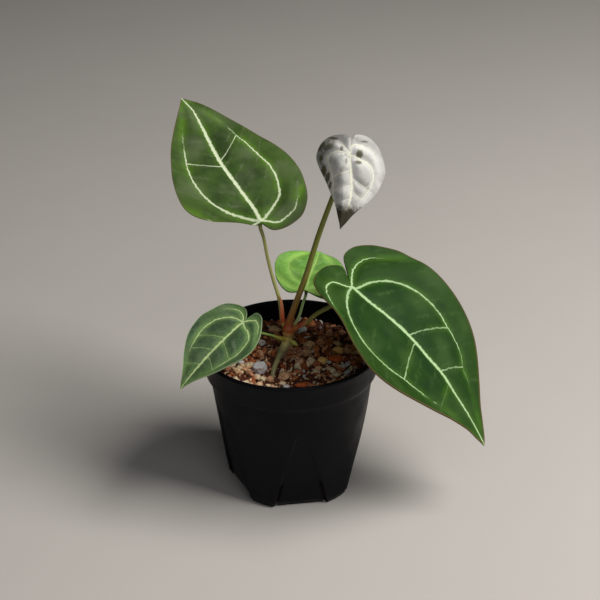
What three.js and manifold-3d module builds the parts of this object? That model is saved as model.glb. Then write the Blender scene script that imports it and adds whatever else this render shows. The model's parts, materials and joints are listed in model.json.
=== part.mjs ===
// A young velvet-leaf anthurium hybrid in a round nursery pot, in millimetres, with +Z up.
// The origin is the middle of the pot's underside. The front, where one flat facet of the pot is, faces -Y.
import * as THREE from 'three';
import { mergeVertices } from 'three/addons/utils/BufferGeometryUtils.js';
import Module from 'manifold-3d';

const wasm = await Module();
wasm.setup();

const GAP = 0.3;

// The pot: a 90 mm round rim over a tapered body with five tall flats, each an upside-down V
const POT = {
  footRadius: 32.5,
  shoulderRadius: 40.5,
  shoulderZ: 62.5,
  footBevel: 1.5,
  wall: 1.4,
  floor: 1.8,
};
const FLATS = 5;
const FRONT_FLAT_DEG = 276.6;
const FLAT = { footHalfDeg: 24, tipHalfDeg: 1, apexZ: 52, footDistance: 28.4, stepDeg: 1.6 };
const FLAT_COLUMNS = 3;
const ROUND_COLUMNS = 6;
const BODY_ROWS = [3, 18, 34, 50];
const COLLAR_OUTSIDE = [
  [40.5, 62.5],
  [42.4, 63.9],
  [42.9, 65.2],
  [43.9, 75.9],
  [45, 76.4],
  [45, 77.5],
  [44.5, 78],
];
const COLLAR_INSIDE = [
  [43.6, 78],
  [43.1, 77.4],
  [42.6, 76],
  [42, 67.2],
  [41.3, 65.2],
  [39.1, 62.8],
];
const SLIT = { width: 1.3, height: 16, depth: 9, floorReach: 9, floorHeight: 5 };

// The growing mix fills the pot, a centimetre under the rim, with its bark fused in
const MIX = { edgeZ: 68.2, crownRise: 2.2, wallGap: 0.4, bodyGap: 0.9, bumps: 0.7, bumpSeed: 11, smallest: 0.06 };
const MIX_RINGS = [0.84, 0.56, 0.27];
const CHIPS = {
  count: 52,
  seed: 5,
  reach: 36,
  turnDeg: 137.5,
  jitterDeg: 20,
  long: [2, 4.2],
  width: [0.55, 0.85],
  height: [0.35, 0.65],
  tilt: 0.7,
  lift: 0.2,
  clearOfStem: 6.5,
};
const STONE_ROUGHNESS = 0.16;

// Loose pieces that lie in the mix: place in plan, half sizes, turn in degrees and colour
const CHUNKS = [
  ['pumice_ball', -15.5, -12.4, [3.4, 3.3, 3.2], 0, 'pumice'],
  ['pumice_2', -14.4, 12.6, [2.2, 1.8, 1.6], 30, 'pumice'],
  ['pumice_3', 27.6, -8.8, [1.7, 1.4, 1.3], 20, 'pumice'],
  ['pumice_4', 27.0, -16.6, [1.7, 1.5, 1.3], 70, 'pumice'],
  ['pumice_5', -25.0, -6.5, [2.1, 1.7, 1.6], 15, 'pumice'],
  ['pumice_6', 6.0, 26.0, [2.3, 1.9, 1.7], 50, 'pumice'],
  ['pumice_7', -2.7, -29.2, [1.8, 1.5, 1.4], 5, 'pumice'],
  ['clay_block', 23.0, 3.4, [3.4, 2.6, 2.4], 12, 'clay'],
  ['clay_ball', 15.4, -6.6, [2.0, 1.9, 1.9], 0, 'clay'],
  ['bark_long', 22.0, -4.2, [4.0, 2.4, 1.9], 8, 'bark_orange'],
  ['bark_pink', 9.0, 9.0, [3.2, 2.6, 2.2], 40, 'bark_pale'],
  ['bark_beige', -3.6, -20.4, [3.6, 2.6, 2.1], 20, 'bark_pale'],
  ['bark_tan', -10.6, -22.2, [2.0, 1.7, 1.6], 60, 'bark_pale'],
  ['bark_cream_1', -15.6, -26.0, [1.9, 1.6, 1.4], 10, 'bark_pale'],
  ['bark_cream_2', -9.2, -29.2, [2.0, 1.6, 1.4], 35, 'bark_pale'],
  ['bark_flat', 5.2, -27.6, [4.4, 2.2, 1.1], 5, 'bark_orange'],
  ['bark_left', -26.5, 6.0, [3.6, 2.2, 1.8], 75, 'bark_orange'],
  ['bark_back', -8.0, 27.0, [3.8, 2.4, 1.9], 160, 'bark_pale'],
];
const CHUNK_SEED = 23;
const CHUNK_LIFT = 0.25;
const ROUND_CHUNKS = ['pumice_ball', 'clay_ball'];

// The short stem stands in the mix, and its crown carries the leaf stalks
const STEM = [
  [-4.7, 0.2, 60, 2.4],
  [-4.6, 0.1, 68, 2.5],
  [-4.5, 0, 71, 2.5],
  [-4.3, 0, 72.4, 2.9],
  [-3.9, 0, 73.8, 2.2],
  [-2.6, 0, 77.2, 2.0],
  [-1.7, 0, 80.2, 2.2],
  [-1.2, 0, 83.4, 2.9],
  [-1.0, 0, 86.2, 3.0],
  [-0.9, -0.1, 88.2, 2.0],
];
const ROOT = [
  [-4.9, -0.6, 73.2, 1.2],
  [-5.5, -3.6, 73.0, 1.3],
  [-6.8, -8, 72.0, 1.3],
  [-8.4, -12.4, 70.4, 1.25],
  [-9.3, -15.6, 67.4, 1.2],
  [-9.6, -17.2, 63.5, 1.1],
];
const BUD = [
  [-2.2, -0.2, 79.2, 0.9],
  [0.2, -0.9, 78.6, 1.1],
  [1.9, -1.3, 77.6, 1.2],
  [3.0, -1.5, 76.6, 0.5],
];
const BUD_STEPS = 8;

// Leaf stalks: centre line and radius, from inside the crown to just under the blade
const STALKS = {
  petiole_1: [
    [-1.9, 0.6, 84, 1.2],
    [-3.7, 0.8, 88, 1.15],
    [-5.1, 1.2, 100.4, 0.95],
    [-8.2, 2.2, 112.5, 0.82],
    [-10.4, 3.0, 122.9, 0.78],
    [-12.0, 4.0, 132.6, 0.8],
    [-13.5, 4.4, 138.4, 0.95],
    [-13.3, 3.36, 141.24, 1.0],
  ],
  petiole_2: [
    [-1.0, -0.3, 85, 1.7],
    [-0.7, -0.5, 89.2, 1.65],
    [1.2, -0.8, 95, 1.55],
    [4.4, -1.2, 104.6, 1.45],
    [7.6, -1.4, 114, 1.4],
    [14.3, -1.4, 136.8, 1.3],
    [21.0, -0.8, 155.9, 1.2],
    [25.6, 0.4, 168.5, 1.15],
    [27.8, -0.6, 175.6, 1.15],
    [28.42, -5.24, 178.1, 1.15],
  ],
  petiole_3: [
    [0.0, -1.4, 84.4, 1.3],
    [2.8, -2.6, 87.4, 1.3],
    [7.5, -3, 90, 1.15],
    [13.1, -3, 95, 1.08],
    [18.7, -3, 98.3, 1.05],
    [24.0, -2.4, 101.2, 1.05],
    [27.7, -2.4, 105.0, 1.1],
    [29.42, -3.76, 108.78, 1.15],
  ],
  petiole_4: [
    [-1.6, -0.6, 79.2, 1.0],
    [-4.8, -2.1, 80.9, 1.05],
    [-9.2, -4.5, 84.1, 0.68],
    [-14.6, -8, 87.7, 0.62],
    [-19.8, -10.9, 91.0, 0.62],
    [-22.3, -11.8, 93.2, 0.7],
    [-22.66, -12.74, 95.66, 0.75],
  ],
  petiole_5: [
    [0.4, 1.2, 84.6, 0.85],
    [2.8, 3, 87, 0.8],
    [4.8, 5, 90.9, 0.72],
    [6.3, 7.5, 95.3, 0.68],
    [7.7, 9.7, 98.2, 0.75],
    [8.08, 10.08, 100.82, 0.8],
  ],
};
const STALK_FRONT = new THREE.Vector3(0.2, -1, 0.1);
const STALK_SIDES = 8;
const STALK_STEPS = 14;

// Papery sheaths that wrap one side of a stalk's base, along a stretch of its centre line
const SHEATHS = [
  { name: 'cataphyll_1', stalk: 'petiole_1', from: 0.155, to: 0.31, facing: [0.55, -0.83, 0.1], wide: 1.25 },
  { name: 'cataphyll_2', stalk: 'petiole_3', from: 0.185, to: 0.33, facing: [-0.25, -0.45, 0.85], wide: 1.3 },
];
const SHEATH = { thickness: 0.6, clear: 0.4, rows: 7, columns: 6, tipWidth: 0.2 };

// Blades: outlines run from the notch at the stalk round each half to the tip, as [along, across, rise]
// in the blade's own millimetres. Rise lifts or drops the margin from the blade's arched sheet.
const BLADES = [
  {
    name: 'blade_1',
    attach: [-13.2, 3, 142],
    normal: [0.13, -0.42, 0.9],
    along: [-0.44, 0.79, 0.43],
    length: 89.7,
    halfWidth: 30,
    droop: 3,
    cup: 1,
    hub: [14, 0],
    thickness: 0.9,
    bulge: 0.9,
    spokes: 24,
    rings: 7,
    left: [
      [-2, 0, 0],
      [-0.4, 2.8, -1.5],
      [3.6, 8.1, -2.5],
      [7.2, 14.6, -3],
      [10.2, 20.6, -3],
      [14.7, 26.7, -2.5],
      [20.3, 30.1, -1.5],
      [27.3, 30.6, -1],
      [38.6, 28.2, -1],
      [50.4, 23.7, -1],
      [59.6, 19.4, -0.5],
      [71.7, 12, -0.5],
      [83.3, 4.2, 0],
      [89.7, 0, 0],
    ],
    right: [
      [-2, 0, 0],
      [-4.8, -1.2, -0.5],
      [-6.4, -4, -2],
      [-6.7, -9.2, -2.5],
      [-5.5, -15.5, -2.5],
      [-3, -21.2, -2],
      [2.4, -26.2, -1.5],
      [8, -29.2, -1],
      [15.2, -31.4, -1],
      [23.1, -32.2, -1],
      [32.8, -31.3, -1],
      [41.5, -28.4, -1],
      [50.1, -24, -1],
      [59.1, -19.4, -0.5],
      [68.6, -14.7, -0.5],
      [77.1, -10, 0],
      [84, -5.6, 0],
      [89.7, 0, 0],
    ],
    veins: [
      [[0, 0], [7.8, 8.8], [18.9, 17.2], [35.4, 19.4], [52.7, 15.4], [69.8, 8.5]],
      [[0, 0], [6.6, -10.8], [18.3, -18.7], [31.6, -19.9], [47.4, -16.6], [66, -11]],
      [[0, 0], [-2.9, -8.3], [-0.7, -15.2], [5.4, -22.2]],
      [[38, 0], [42.4, 10.2], [46.9, 16.7]],
      [[42, 0], [47.4, -7.4], [53.8, -14.4]],
    ],
  },
  {
    name: 'blade_2',
    attach: [28.5, -6, 178.4],
    normal: [0.1, -0.925, 0.368],
    along: [-0.137, -0.379, -0.915],
    length: 34.3,
    halfWidth: 16,
    droop: 1.8,
    cup: -5,
    hub: [5, 0],
    thickness: 0.8,
    bulge: 0.9,
    spokes: 18,
    rings: 6,
    left: [
      [-1.8, 0, 0],
      [-5, 0.35, -0.5],
      [-8.6, 0.7, -1.2],
      [-9.6, 3.4, -2],
      [-8.9, 7.6, -2.5],
      [-7.2, 10.6, -3],
      [-4.7, 13.5, -3],
      [-1.1, 15.8, -3],
      [2.5, 17.5, -3],
      [6.2, 18.5, -3],
      [10.1, 18, -3],
      [13.8, 16.5, -3],
      [18.7, 13.2, -2.5],
      [22.9, 9.4, -2],
      [26.8, 5.4, -1],
      [31, 2.2, 0],
      [34.3, 0, 0],
    ],
    right: [
      [-1.8, 0, 0],
      [-5, -0.35, -0.5],
      [-8.3, -0.8, -1.2],
      [-8.8, -3.8, -2.6],
      [-7.5, -8.6, -5.5],
      [-4.5, -11.6, -8],
      [-0.7, -13.1, -9],
      [3.5, -13.3, -9],
      [7.5, -11.8, -8],
      [12.8, -8.8, -6],
      [18.2, -5.9, -4],
      [22.4, -3.8, -2],
      [26.3, -2.4, -1],
      [30.5, -1.1, 0],
      [34.3, 0, 0],
    ],
    veins: [
      [[0, 0], [1.3, 8], [4.7, 11.8], [12.3, 12], [22, 6]],
      [[0, 0], [-0.9, -5], [1.7, -7.7], [9, -5.7], [18, -3.4]],
      [[7, 0], [11, 6], [15, 9.4]],
    ],
  },
  {
    name: 'blade_3',
    attach: [29.7, -4, 109.5],
    normal: [0.349, -0.299, 0.888],
    along: [0.785, -0.425, -0.452],
    length: 95,
    halfWidth: 40,
    droop: 33.5,
    cup: 6.2,
    hub: [0, 0],
    thickness: 0.9,
    bulge: 0.9,
    spokes: 28,
    rings: 9,
    left: [
      [-1.6, 1.2, 0],
      [-7.6, 6.8, 0],
      [-12.6, 11.8, 0],
      [-13.8, 16.1, 0],
      [-12.4, 22.1, 0],
      [-7.6, 28.1, 0],
      [-1.4, 32.3, 0],
      [6.5, 36.4, 0],
      [16, 39, 0],
      [25.9, 40, 0],
      [35.4, 39.5, 0],
      [45.1, 37.8, 0],
      [53.7, 35.1, 0],
      [61, 31.3, 0],
      [67.4, 26.2, 0],
      [75, 18.7, 0],
      [82, 11.6, 0],
      [87.6, 7.2, 0],
      [92, 3.8, 0],
      [95, 0.4, 0],
    ],
    right: [
      [-1.6, 1.2, 0],
      [-6.3, 4.2, 0],
      [-10.2, 5.6, 0.5],
      [-13.7, 2.3, 1],
      [-15.9, -3.1, 1.5],
      [-15.9, -11, 2],
      [-13.1, -20, 3.5],
      [-8.1, -26, 5],
      [-2, -31.4, 7],
      [5.2, -34.9, 8],
      [11.8, -37.6, 7.5],
      [18.7, -41, 6],
      [26.7, -44.4, 4],
      [33.8, -45.4, 2.5],
      [41, -42, 1],
      [49.2, -35.9, 0],
      [58, -28.8, 0],
      [68.2, -19.6, 0],
      [76.4, -11.4, 0],
      [83.9, -5.2, 0],
      [90.1, -2.2, 0],
      [95, 0.4, 0],
    ],
    veins: [
      [[0, 0], [4.7, 9.1], [15.3, 21.1], [31.3, 25.9], [46.8, 23.8], [59.7, 19.8], [73.1, 12.3]],
      [[0, 0], [1.5, -7.2], [13.3, -23], [30.4, -29.5], [46.7, -24.6], [60.7, -18.2]],
      [[0, 0], [-5.5, 10.6], [-5.6, 17.1], [0.7, 26.5]],
      [[0, 0], [-5.3, -3.6], [-8.6, -8.5], [-6.4, -16.4]],
      [[34.5, 0], [40.7, 12.5], [47.2, 22.5]],
      [[39, 0], [42.4, -10.9], [45.4, -24]],
      [[57, 0], [64.7, 14]],
    ],
  },
  {
    name: 'blade_4',
    attach: [-22.7, -13, 96.4],
    normal: [-0.05, -0.331, 0.942],
    along: [-0.701, -0.66, -0.269],
    length: 43.1,
    halfWidth: 17,
    droop: 10.6,
    cup: 1.5,
    hub: [6, 0],
    thickness: 0.8,
    bulge: 0.7,
    spokes: 20,
    rings: 6,
    left: [
      [-1.5, 0, 0],
      [-4.4, 0.9, 0.8],
      [-7.3, 2.4, 1.2],
      [-7, 5.8, 1],
      [-3.4, 9.4, 0.5],
      [1.1, 12.9, 0],
      [4.8, 14.9, 0],
      [9, 16.6, 0],
      [12.9, 17.4, 0],
      [17, 16.8, 0],
      [20.5, 15, 0],
      [24, 12.8, 0],
      [27.7, 10.5, 0],
      [31.2, 7.9, 0],
      [34.4, 5.2, 0],
      [38, 2.6, 0],
      [43.1, 0, 0],
    ],
    right: [
      [-1.5, 0, 0],
      [-4.2, -1.6, 0],
      [-6.4, -4.3, 0],
      [-6.2, -7.9, 0],
      [-4.3, -11.6, 0],
      [-1.5, -14.2, 0],
      [2.7, -15.8, 0],
      [6.9, -16.9, 0],
      [12.2, -17, 0],
      [17.6, -16.4, 0],
      [21.9, -15.2, 0],
      [26, -13.1, 0],
      [30.5, -10, 0],
      [34.2, -6.8, 0],
      [38, -3.8, 0],
      [43.1, 0, 0],
    ],
    veins: [
      [[0, 0], [2.7, 6], [8.3, 11.1], [16.2, 11.9], [27, 8]],
      [[0, 0], [1.2, -5.4], [7.8, -10.8], [16.8, -11.8], [29.8, -7.8]],
    ],
  },
  {
    name: 'blade_5',
    attach: [8.1, 10, 101.6],
    normal: [0.03, -0.12, 0.992],
    along: [0.183, 0.977, 0.112],
    length: 41,
    halfWidth: 17,
    droop: 4.1,
    cup: -1,
    hub: [6, 0],
    thickness: 0.8,
    bulge: 0.7,
    spokes: 18,
    rings: 6,
    left: [
      [-1.6, 0, 0],
      [-3, 2.6, 0],
      [-4.8, 4.9, 0],
      [-5.8, 8, 0.5],
      [-3, 11.4, 1],
      [2.3, 14.3, 1],
      [8, 16.6, 1],
      [14, 18.3, 1],
      [20.5, 19.2, 1.5],
      [26.5, 18.2, 2.5],
      [31.4, 14.4, 2.5],
      [35.4, 9.2, 1.5],
      [38.4, 4.4, 0.5],
      [41, 0, 0],
    ],
    right: [
      [-1.6, 0, 0],
      [-3.4, -3, 0],
      [-6, -6.4, 0],
      [-7.3, -10.2, 0],
      [-4.5, -14, 0],
      [0.5, -16.6, 0],
      [6.5, -18, 0],
      [13, -18, 0],
      [19.5, -17, 0],
      [25.5, -14.6, 0],
      [31.4, -11.3, 0],
      [35.9, -6.6, 0],
      [39.2, -2.4, 0],
      [41, 0, 0],
    ],
    veins: [
      [[0, 0], [5.5, 4.1], [15, 11.1], [27, 12], [36, 6]],
      [[0, 0], [3, -7], [12, -12.4], [24, -11], [34, -5]],
    ],
  },
];
const MARGIN_START = 0.3;
const MARGIN_TENSION = 0.5;
const VALLEY = 4;

// Colours and finishes
const FINISHES = {
  pot: new THREE.MeshStandardMaterial({ color: '#141414', roughness: 0.45, metalness: 0 }),
  mix: new THREE.MeshStandardMaterial({ color: '#5c3524', roughness: 0.95, metalness: 0 }),
  pumice: new THREE.MeshStandardMaterial({ color: '#c9c4c2', roughness: 0.9, metalness: 0 }),
  clay: new THREE.MeshStandardMaterial({ color: '#dd9a54', roughness: 0.9, metalness: 0 }),
  bark_orange: new THREE.MeshStandardMaterial({ color: '#8c4320', roughness: 0.9, metalness: 0 }),
  bark_pale: new THREE.MeshStandardMaterial({ color: '#b28468', roughness: 0.9, metalness: 0 }),
  stem: new THREE.MeshStandardMaterial({ color: '#a08a48', roughness: 0.6, metalness: 0 }),
  root: new THREE.MeshStandardMaterial({ color: '#8d8a5c', roughness: 0.7, metalness: 0 }),
  sheath: new THREE.MeshStandardMaterial({ color: '#a85a34', roughness: 0.6, metalness: 0 }),
  stalk: new THREE.MeshStandardMaterial({ color: '#7d7a2c', roughness: 0.5, metalness: 0 }),
  young: new THREE.MeshStandardMaterial({ color: '#cbcac8', roughness: 0.6, metalness: 0 }),
  velvet: new THREE.MeshStandardMaterial({ color: '#2f4b26', roughness: 0.6, metalness: 0 }),
  fresh: new THREE.MeshStandardMaterial({ color: '#5f9048', roughness: 0.55, metalness: 0 }),
};
const BLADE_FINISH = {
  blade_1: 'velvet',
  blade_2: 'young',
  blade_3: 'velvet',
  blade_4: 'fresh',
  blade_5: 'fresh',
};

// A seeded draw, so that every build is alike
function seeded(seed) {
  let state = seed;
  return () => {
    state = (state * 1664525 + 1013904223) % 4294967296;
    return state / 4294967296;
  };
}

function toSolid(geometry) {
  const bare = geometry.clone();
  bare.deleteAttribute('normal');
  bare.deleteAttribute('uv');
  const merged = mergeVertices(bare);
  const mesh = new wasm.Mesh({
    numProp: 3,
    vertProperties: new Float32Array(merged.attributes.position.array),
    triVerts: new Uint32Array(merged.index.array),
  });
  mesh.merge();
  return new wasm.Manifold(mesh);
}

function toGeometry(solid) {
  const mesh = solid.getMesh();
  const geometry = new THREE.BufferGeometry();
  geometry.setAttribute('position', new THREE.BufferAttribute(new Float32Array(mesh.vertProperties), 3));
  geometry.setIndex(new THREE.BufferAttribute(new Uint32Array(mesh.triVerts), 1));
  geometry.computeVertexNormals();
  return geometry;
}

// The largest body of a cut solid, without loose scraps
function largestBody(solid) {
  const bodies = solid.decompose();
  bodies.sort((a, b) => b.volume() - a.volume());
  return bodies[0];
}

function meshFrom(points, triangles) {
  const geometry = new THREE.BufferGeometry();
  geometry.setFromPoints(points);
  geometry.setIndex(triangles);
  geometry.computeVertexNormals();
  return geometry;
}

// Skins a stack of rings, counter-clockwise seen from the last one, and closes both ends on a point
function loft(rings, firstPoint, lastPoint) {
  const count = rings[0].length;
  const points = rings.flat();
  const triangles = [];
  for (let row = 0; row + 1 < rings.length; row += 1) {
    for (let i = 0; i < count; i += 1) {
      const next = (i + 1) % count;
      const a = row * count + i;
      const b = row * count + next;
      triangles.push(a, b, b + count, a, b + count, a + count);
    }
  }
  const first = points.push(firstPoint) - 1;
  const last = points.push(lastPoint) - 1;
  const top = (rings.length - 1) * count;
  for (let i = 0; i < count; i += 1) {
    const next = (i + 1) % count;
    triangles.push(first, next, i);
    triangles.push(last, top + i, top + next);
  }
  return meshFrom(points, triangles);
}

function flatHalfDeg(z) {
  const half = FLAT.footHalfDeg * (1 - z / FLAT.apexZ);
  return Math.max(half, FLAT.tipHalfDeg);
}

function coneRadius(z) {
  return POT.footRadius + ((POT.shoulderRadius - POT.footRadius) * z) / POT.shoulderZ;
}

function flatDistance(z) {
  return FLAT.footDistance + ((coneRadius(FLAT.apexZ) - FLAT.footDistance) * z) / FLAT.apexZ;
}

// Directions of the columns round the pot: on the flats and rounds of the body, and even on the collar
function columnDegrees(z) {
  const period = 360 / FLATS;
  const columns = FLAT_COLUMNS + ROUND_COLUMNS;
  const half = flatHalfDeg(z);
  const roundStart = half + FLAT.stepDeg;
  const roundStep = (period - 2 * roundStart) / (ROUND_COLUMNS - 1);
  const degrees = [];
  for (let i = 0; i < FLATS * columns; i += 1) {
    const column = i % columns;
    let off = half * (column - 1);
    if (column >= FLAT_COLUMNS) {
      off = roundStart + roundStep * (column - FLAT_COLUMNS);
    }
    const middle = FRONT_FLAT_DEG + Math.floor(i / columns) * period;
    degrees.push({ middle, off, onFlat: column < FLAT_COLUMNS });
  }
  return degrees;
}

// One level line round the pot's body, drawn in by inset
function bodyRing(z, inset) {
  return columnDegrees(z).map(({ middle, off, onFlat }) => {
    const flatRadius = (flatDistance(z) - inset) / Math.cos(THREE.MathUtils.degToRad(off));
    return onCircle(middle + off, onFlat ? flatRadius : coneRadius(z) - inset, z);
  });
}

function collarRing(radius, z) {
  return columnDegrees(z).map(({ middle, off }) => onCircle(middle + off, radius, z));
}

function onCircle(deg, radius, z) {
  const angle = THREE.MathUtils.degToRad(deg);
  return new THREE.Vector3(radius * Math.cos(angle), radius * Math.sin(angle), z);
}

function slitCutters() {
  const period = 360 / FLATS;
  const cutters = [];
  for (let flat = 0; flat < FLATS; flat += 1) {
    for (const side of [-1, 1]) {
      const foot = onCircle(FRONT_FLAT_DEG + flat * period + side * flatHalfDeg(0), coneRadius(0), 0);
      const head = onCircle(
        FRONT_FLAT_DEG + flat * period + side * flatHalfDeg(SLIT.height),
        coneRadius(SLIT.height),
        SLIT.height,
      );
      const rise = head.clone().sub(foot).normalize();
      const outward = foot.clone().setZ(0).normalize();
      const tangent = new THREE.Vector3().crossVectors(rise, outward).normalize();
      const radial = new THREE.Vector3().crossVectors(tangent, rise);
      const slope = new THREE.Matrix4().makeBasis(radial, tangent, rise);
      const wallSlit = new THREE.BoxGeometry(SLIT.depth, SLIT.width, SLIT.height * 2);
      wallSlit.applyMatrix4(slope);
      wallSlit.translate(foot.x, foot.y, foot.z);
      cutters.push(toSolid(wallSlit));
      const floorSlit = new THREE.BoxGeometry(SLIT.floorReach, SLIT.width, SLIT.floorHeight);
      floorSlit.rotateZ(Math.atan2(foot.y, foot.x));
      const inner = foot.clone().multiplyScalar(1 - SLIT.floorReach / 2 / foot.length());
      floorSlit.translate(inner.x, inner.y, 0);
      cutters.push(toSolid(floorSlit));
    }
  }
  return cutters;
}

function potGeometry() {
  const rings = [bodyRing(0, POT.footBevel)];
  for (const z of BODY_ROWS) {
    rings.push(bodyRing(z, 0));
  }
  for (const [radius, z] of COLLAR_OUTSIDE.concat(COLLAR_INSIDE)) {
    rings.push(collarRing(radius, z));
  }
  for (const z of BODY_ROWS.slice(1).reverse()) {
    rings.push(bodyRing(z, POT.wall));
  }
  rings.push(bodyRing(POT.floor, POT.wall));
  const underside = new THREE.Vector3(0, 0, 0);
  const insideFloor = new THREE.Vector3(0, 0, POT.floor);
  let pot = toSolid(loft(rings, underside, insideFloor));
  for (const cutter of slitCutters()) {
    pot = pot.subtract(cutter);
  }
  return toGeometry(largestBody(pot));
}

// Height of the mix at a distance from the pot's axis, without its bumps
function mixHeight(x, y) {
  const share = Math.hypot(x, y) / COLLAR_INSIDE[3][0];
  return MIX.edgeZ + MIX.crownRise * (1 - share * share);
}

// A rough stone: a ball of few faces with its corners pushed in and out by a seeded draw
function stone(halfSizes, turnDeg, draw, detail, grow) {
  const ball = new THREE.IcosahedronGeometry(1, detail);
  ball.deleteAttribute('normal');
  ball.deleteAttribute('uv');
  const geometry = mergeVertices(ball);
  const corners = geometry.attributes.position;
  const corner = new THREE.Vector3();
  for (let i = 0; i < corners.count; i += 1) {
    corner.fromBufferAttribute(corners, i);
    corner.multiplyScalar(1 + STONE_ROUGHNESS * (draw() - 0.5));
    corners.setXYZ(
      i,
      corner.x * (halfSizes[0] + grow),
      corner.y * (halfSizes[1] + grow),
      corner.z * (halfSizes[2] + grow),
    );
  }
  geometry.rotateZ(THREE.MathUtils.degToRad(turnDeg));
  return geometry;
}

function chunkGeometry(index, grow) {
  const [name, x, y, halfSizes, turnDeg] = CHUNKS[index];
  const draw = seeded(CHUNK_SEED + index);
  const detail = ROUND_CHUNKS.includes(name) ? 1 : 0;
  const geometry = stone(halfSizes, turnDeg, draw, detail, grow);
  geometry.translate(x, y, mixHeight(x, y) + CHUNK_LIFT * halfSizes[2]);
  return geometry;
}

// Bark chips that are part of the mix, on a sunflower spread, with seeded sizes and turns
function chipSolids() {
  const draw = seeded(CHIPS.seed);
  const between = ([low, high]) => THREE.MathUtils.lerp(low, high, draw());
  const chips = [];
  for (let i = 0; i < CHIPS.count; i += 1) {
    const reach = CHIPS.reach * Math.sqrt((i + 0.5) / CHIPS.count);
    const place = onCircle(CHIPS.turnDeg * i + CHIPS.jitterDeg * draw(), reach, 0);
    const long = between(CHIPS.long);
    const halfSizes = [long, long * between(CHIPS.width), long * between(CHIPS.height)];
    const chip = stone(halfSizes, 360 * draw(), draw, 0, 0);
    chip.rotateX(CHIPS.tilt * (draw() - 0.5));
    if (Math.hypot(place.x - STEM[2][0], place.y) > CHIPS.clearOfStem) {
      chip.translate(place.x, place.y, mixHeight(place.x, place.y) + CHIPS.lift * halfSizes[2]);
      chips.push(toSolid(chip));
    }
  }
  return chips;
}

function mixGeometry() {
  const draw = seeded(MIX.bumpSeed);
  const inset = POT.wall + MIX.bodyGap;
  const floorZ = POT.floor + GAP;
  const rings = [bodyRing(floorZ, inset)];
  for (const z of BODY_ROWS.slice(1)) {
    rings.push(bodyRing(z, inset));
  }
  const [, , , upper, lower, shoulder] = COLLAR_INSIDE;
  rings.push(collarRing(shoulder[0] - MIX.bodyGap, shoulder[1]));
  for (const [radius, z] of [lower, upper]) {
    rings.push(collarRing(radius - MIX.wallGap, z));
  }
  const edgeRadius = upper[0] - MIX.wallGap;
  rings.push(collarRing(edgeRadius, MIX.edgeZ));
  for (const share of MIX_RINGS) {
    const ring = collarRing(edgeRadius * share, MIX.edgeZ);
    for (const point of ring) {
      point.z = mixHeight(point.x, point.y) + MIX.bumps * (draw() - 0.5) * 2;
    }
    rings.push(ring);
  }
  const under = new THREE.Vector3(0, 0, floorZ);
  const crown = new THREE.Vector3(0, 0, mixHeight(0, 0));
  let mix = toSolid(loft(rings, under, crown));
  mix = wasm.Manifold.union([mix, ...chipSolids()]);
  for (let i = 0; i < CHUNKS.length; i += 1) {
    mix = mix.subtract(toSolid(chunkGeometry(i, GAP)));
  }
  mix = mix.subtract(toSolid(stalkGeometry(STEM, GAP)));
  mix = mix.subtract(toSolid(stalkGeometry(ROOT, GAP)));
  return toGeometry(largestBody(mix.simplify(MIX.smallest)));
}

// A tapered stalk along a smooth line through its points, each with its own radius
function stalkGeometry(spine, grow, steps = STALK_STEPS) {
  const line = new THREE.CatmullRomCurve3(spine.map(([x, y, z]) => new THREE.Vector3(x, y, z)));
  const rings = [];
  for (let row = 0; row <= steps; row += 1) {
    const share = row / steps;
    rings.push(stalkRing(line, spine, share, grow));
  }
  const start = line.getPoint(0).addScaledVector(line.getTangent(0), -grow);
  const end = line.getPoint(1).addScaledVector(line.getTangent(1), grow);
  return loft(rings, start, end);
}

function stalkRadius(spine, share) {
  const place = share * (spine.length - 1);
  const index = Math.min(Math.floor(place), spine.length - 2);
  return THREE.MathUtils.lerp(spine[index][3], spine[index + 1][3], place - index);
}

function stalkRing(line, spine, share, grow) {
  const { side, front } = crossFrame(line.getTangent(share), STALK_FRONT);
  const centre = line.getPoint(share);
  const radius = stalkRadius(spine, share) + grow;
  const ring = [];
  for (let i = 0; i < STALK_SIDES; i += 1) {
    const angle = (2 * Math.PI * i) / STALK_SIDES;
    const point = centre.clone();
    point.addScaledVector(front, radius * Math.cos(angle));
    point.addScaledVector(side, radius * Math.sin(angle));
    ring.push(point);
  }
  return ring;
}

// Two directions across a tangent: front, as near as can be to the one asked for, and side
function crossFrame(tangent, wanted) {
  const front = wanted.clone().addScaledVector(tangent, -wanted.dot(tangent)).normalize();
  const side = new THREE.Vector3().crossVectors(tangent, front);
  return { side, front };
}

// A piece that grows from the stem, cut off just clear of it
function offStem(geometry) {
  const clearStem = toSolid(stalkGeometry(STEM, GAP));
  return toGeometry(largestBody(toSolid(geometry).subtract(clearStem)));
}

// Closes two like grids of points, the outer and the inner face of a thin sheet
function sheet(outer, inner) {
  const rows = outer.length;
  const columns = outer[0].length;
  const points = outer.flat().concat(inner.flat());
  const shift = rows * columns;
  const triangles = [];
  const quad = (a, b, c, d) => triangles.push(a, b, c, a, c, d);
  for (let row = 0; row + 1 < rows; row += 1) {
    for (let column = 0; column + 1 < columns; column += 1) {
      const a = row * columns + column;
      quad(a, a + 1, a + 1 + columns, a + columns);
      quad(a + shift, a + columns + shift, a + 1 + columns + shift, a + 1 + shift);
    }
  }
  for (let row = 0; row + 1 < rows; row += 1) {
    const a = row * columns;
    const b = a + columns - 1;
    quad(a, a + columns, a + columns + shift, a + shift);
    quad(b + columns, b, b + shift, b + columns + shift);
  }
  for (let column = 0; column + 1 < columns; column += 1) {
    const a = column;
    const b = (rows - 1) * columns + column;
    quad(a + 1, a, a + shift, a + 1 + shift);
    quad(b, b + 1, b + 1 + shift, b + shift);
  }
  return meshFrom(points, triangles);
}

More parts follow.
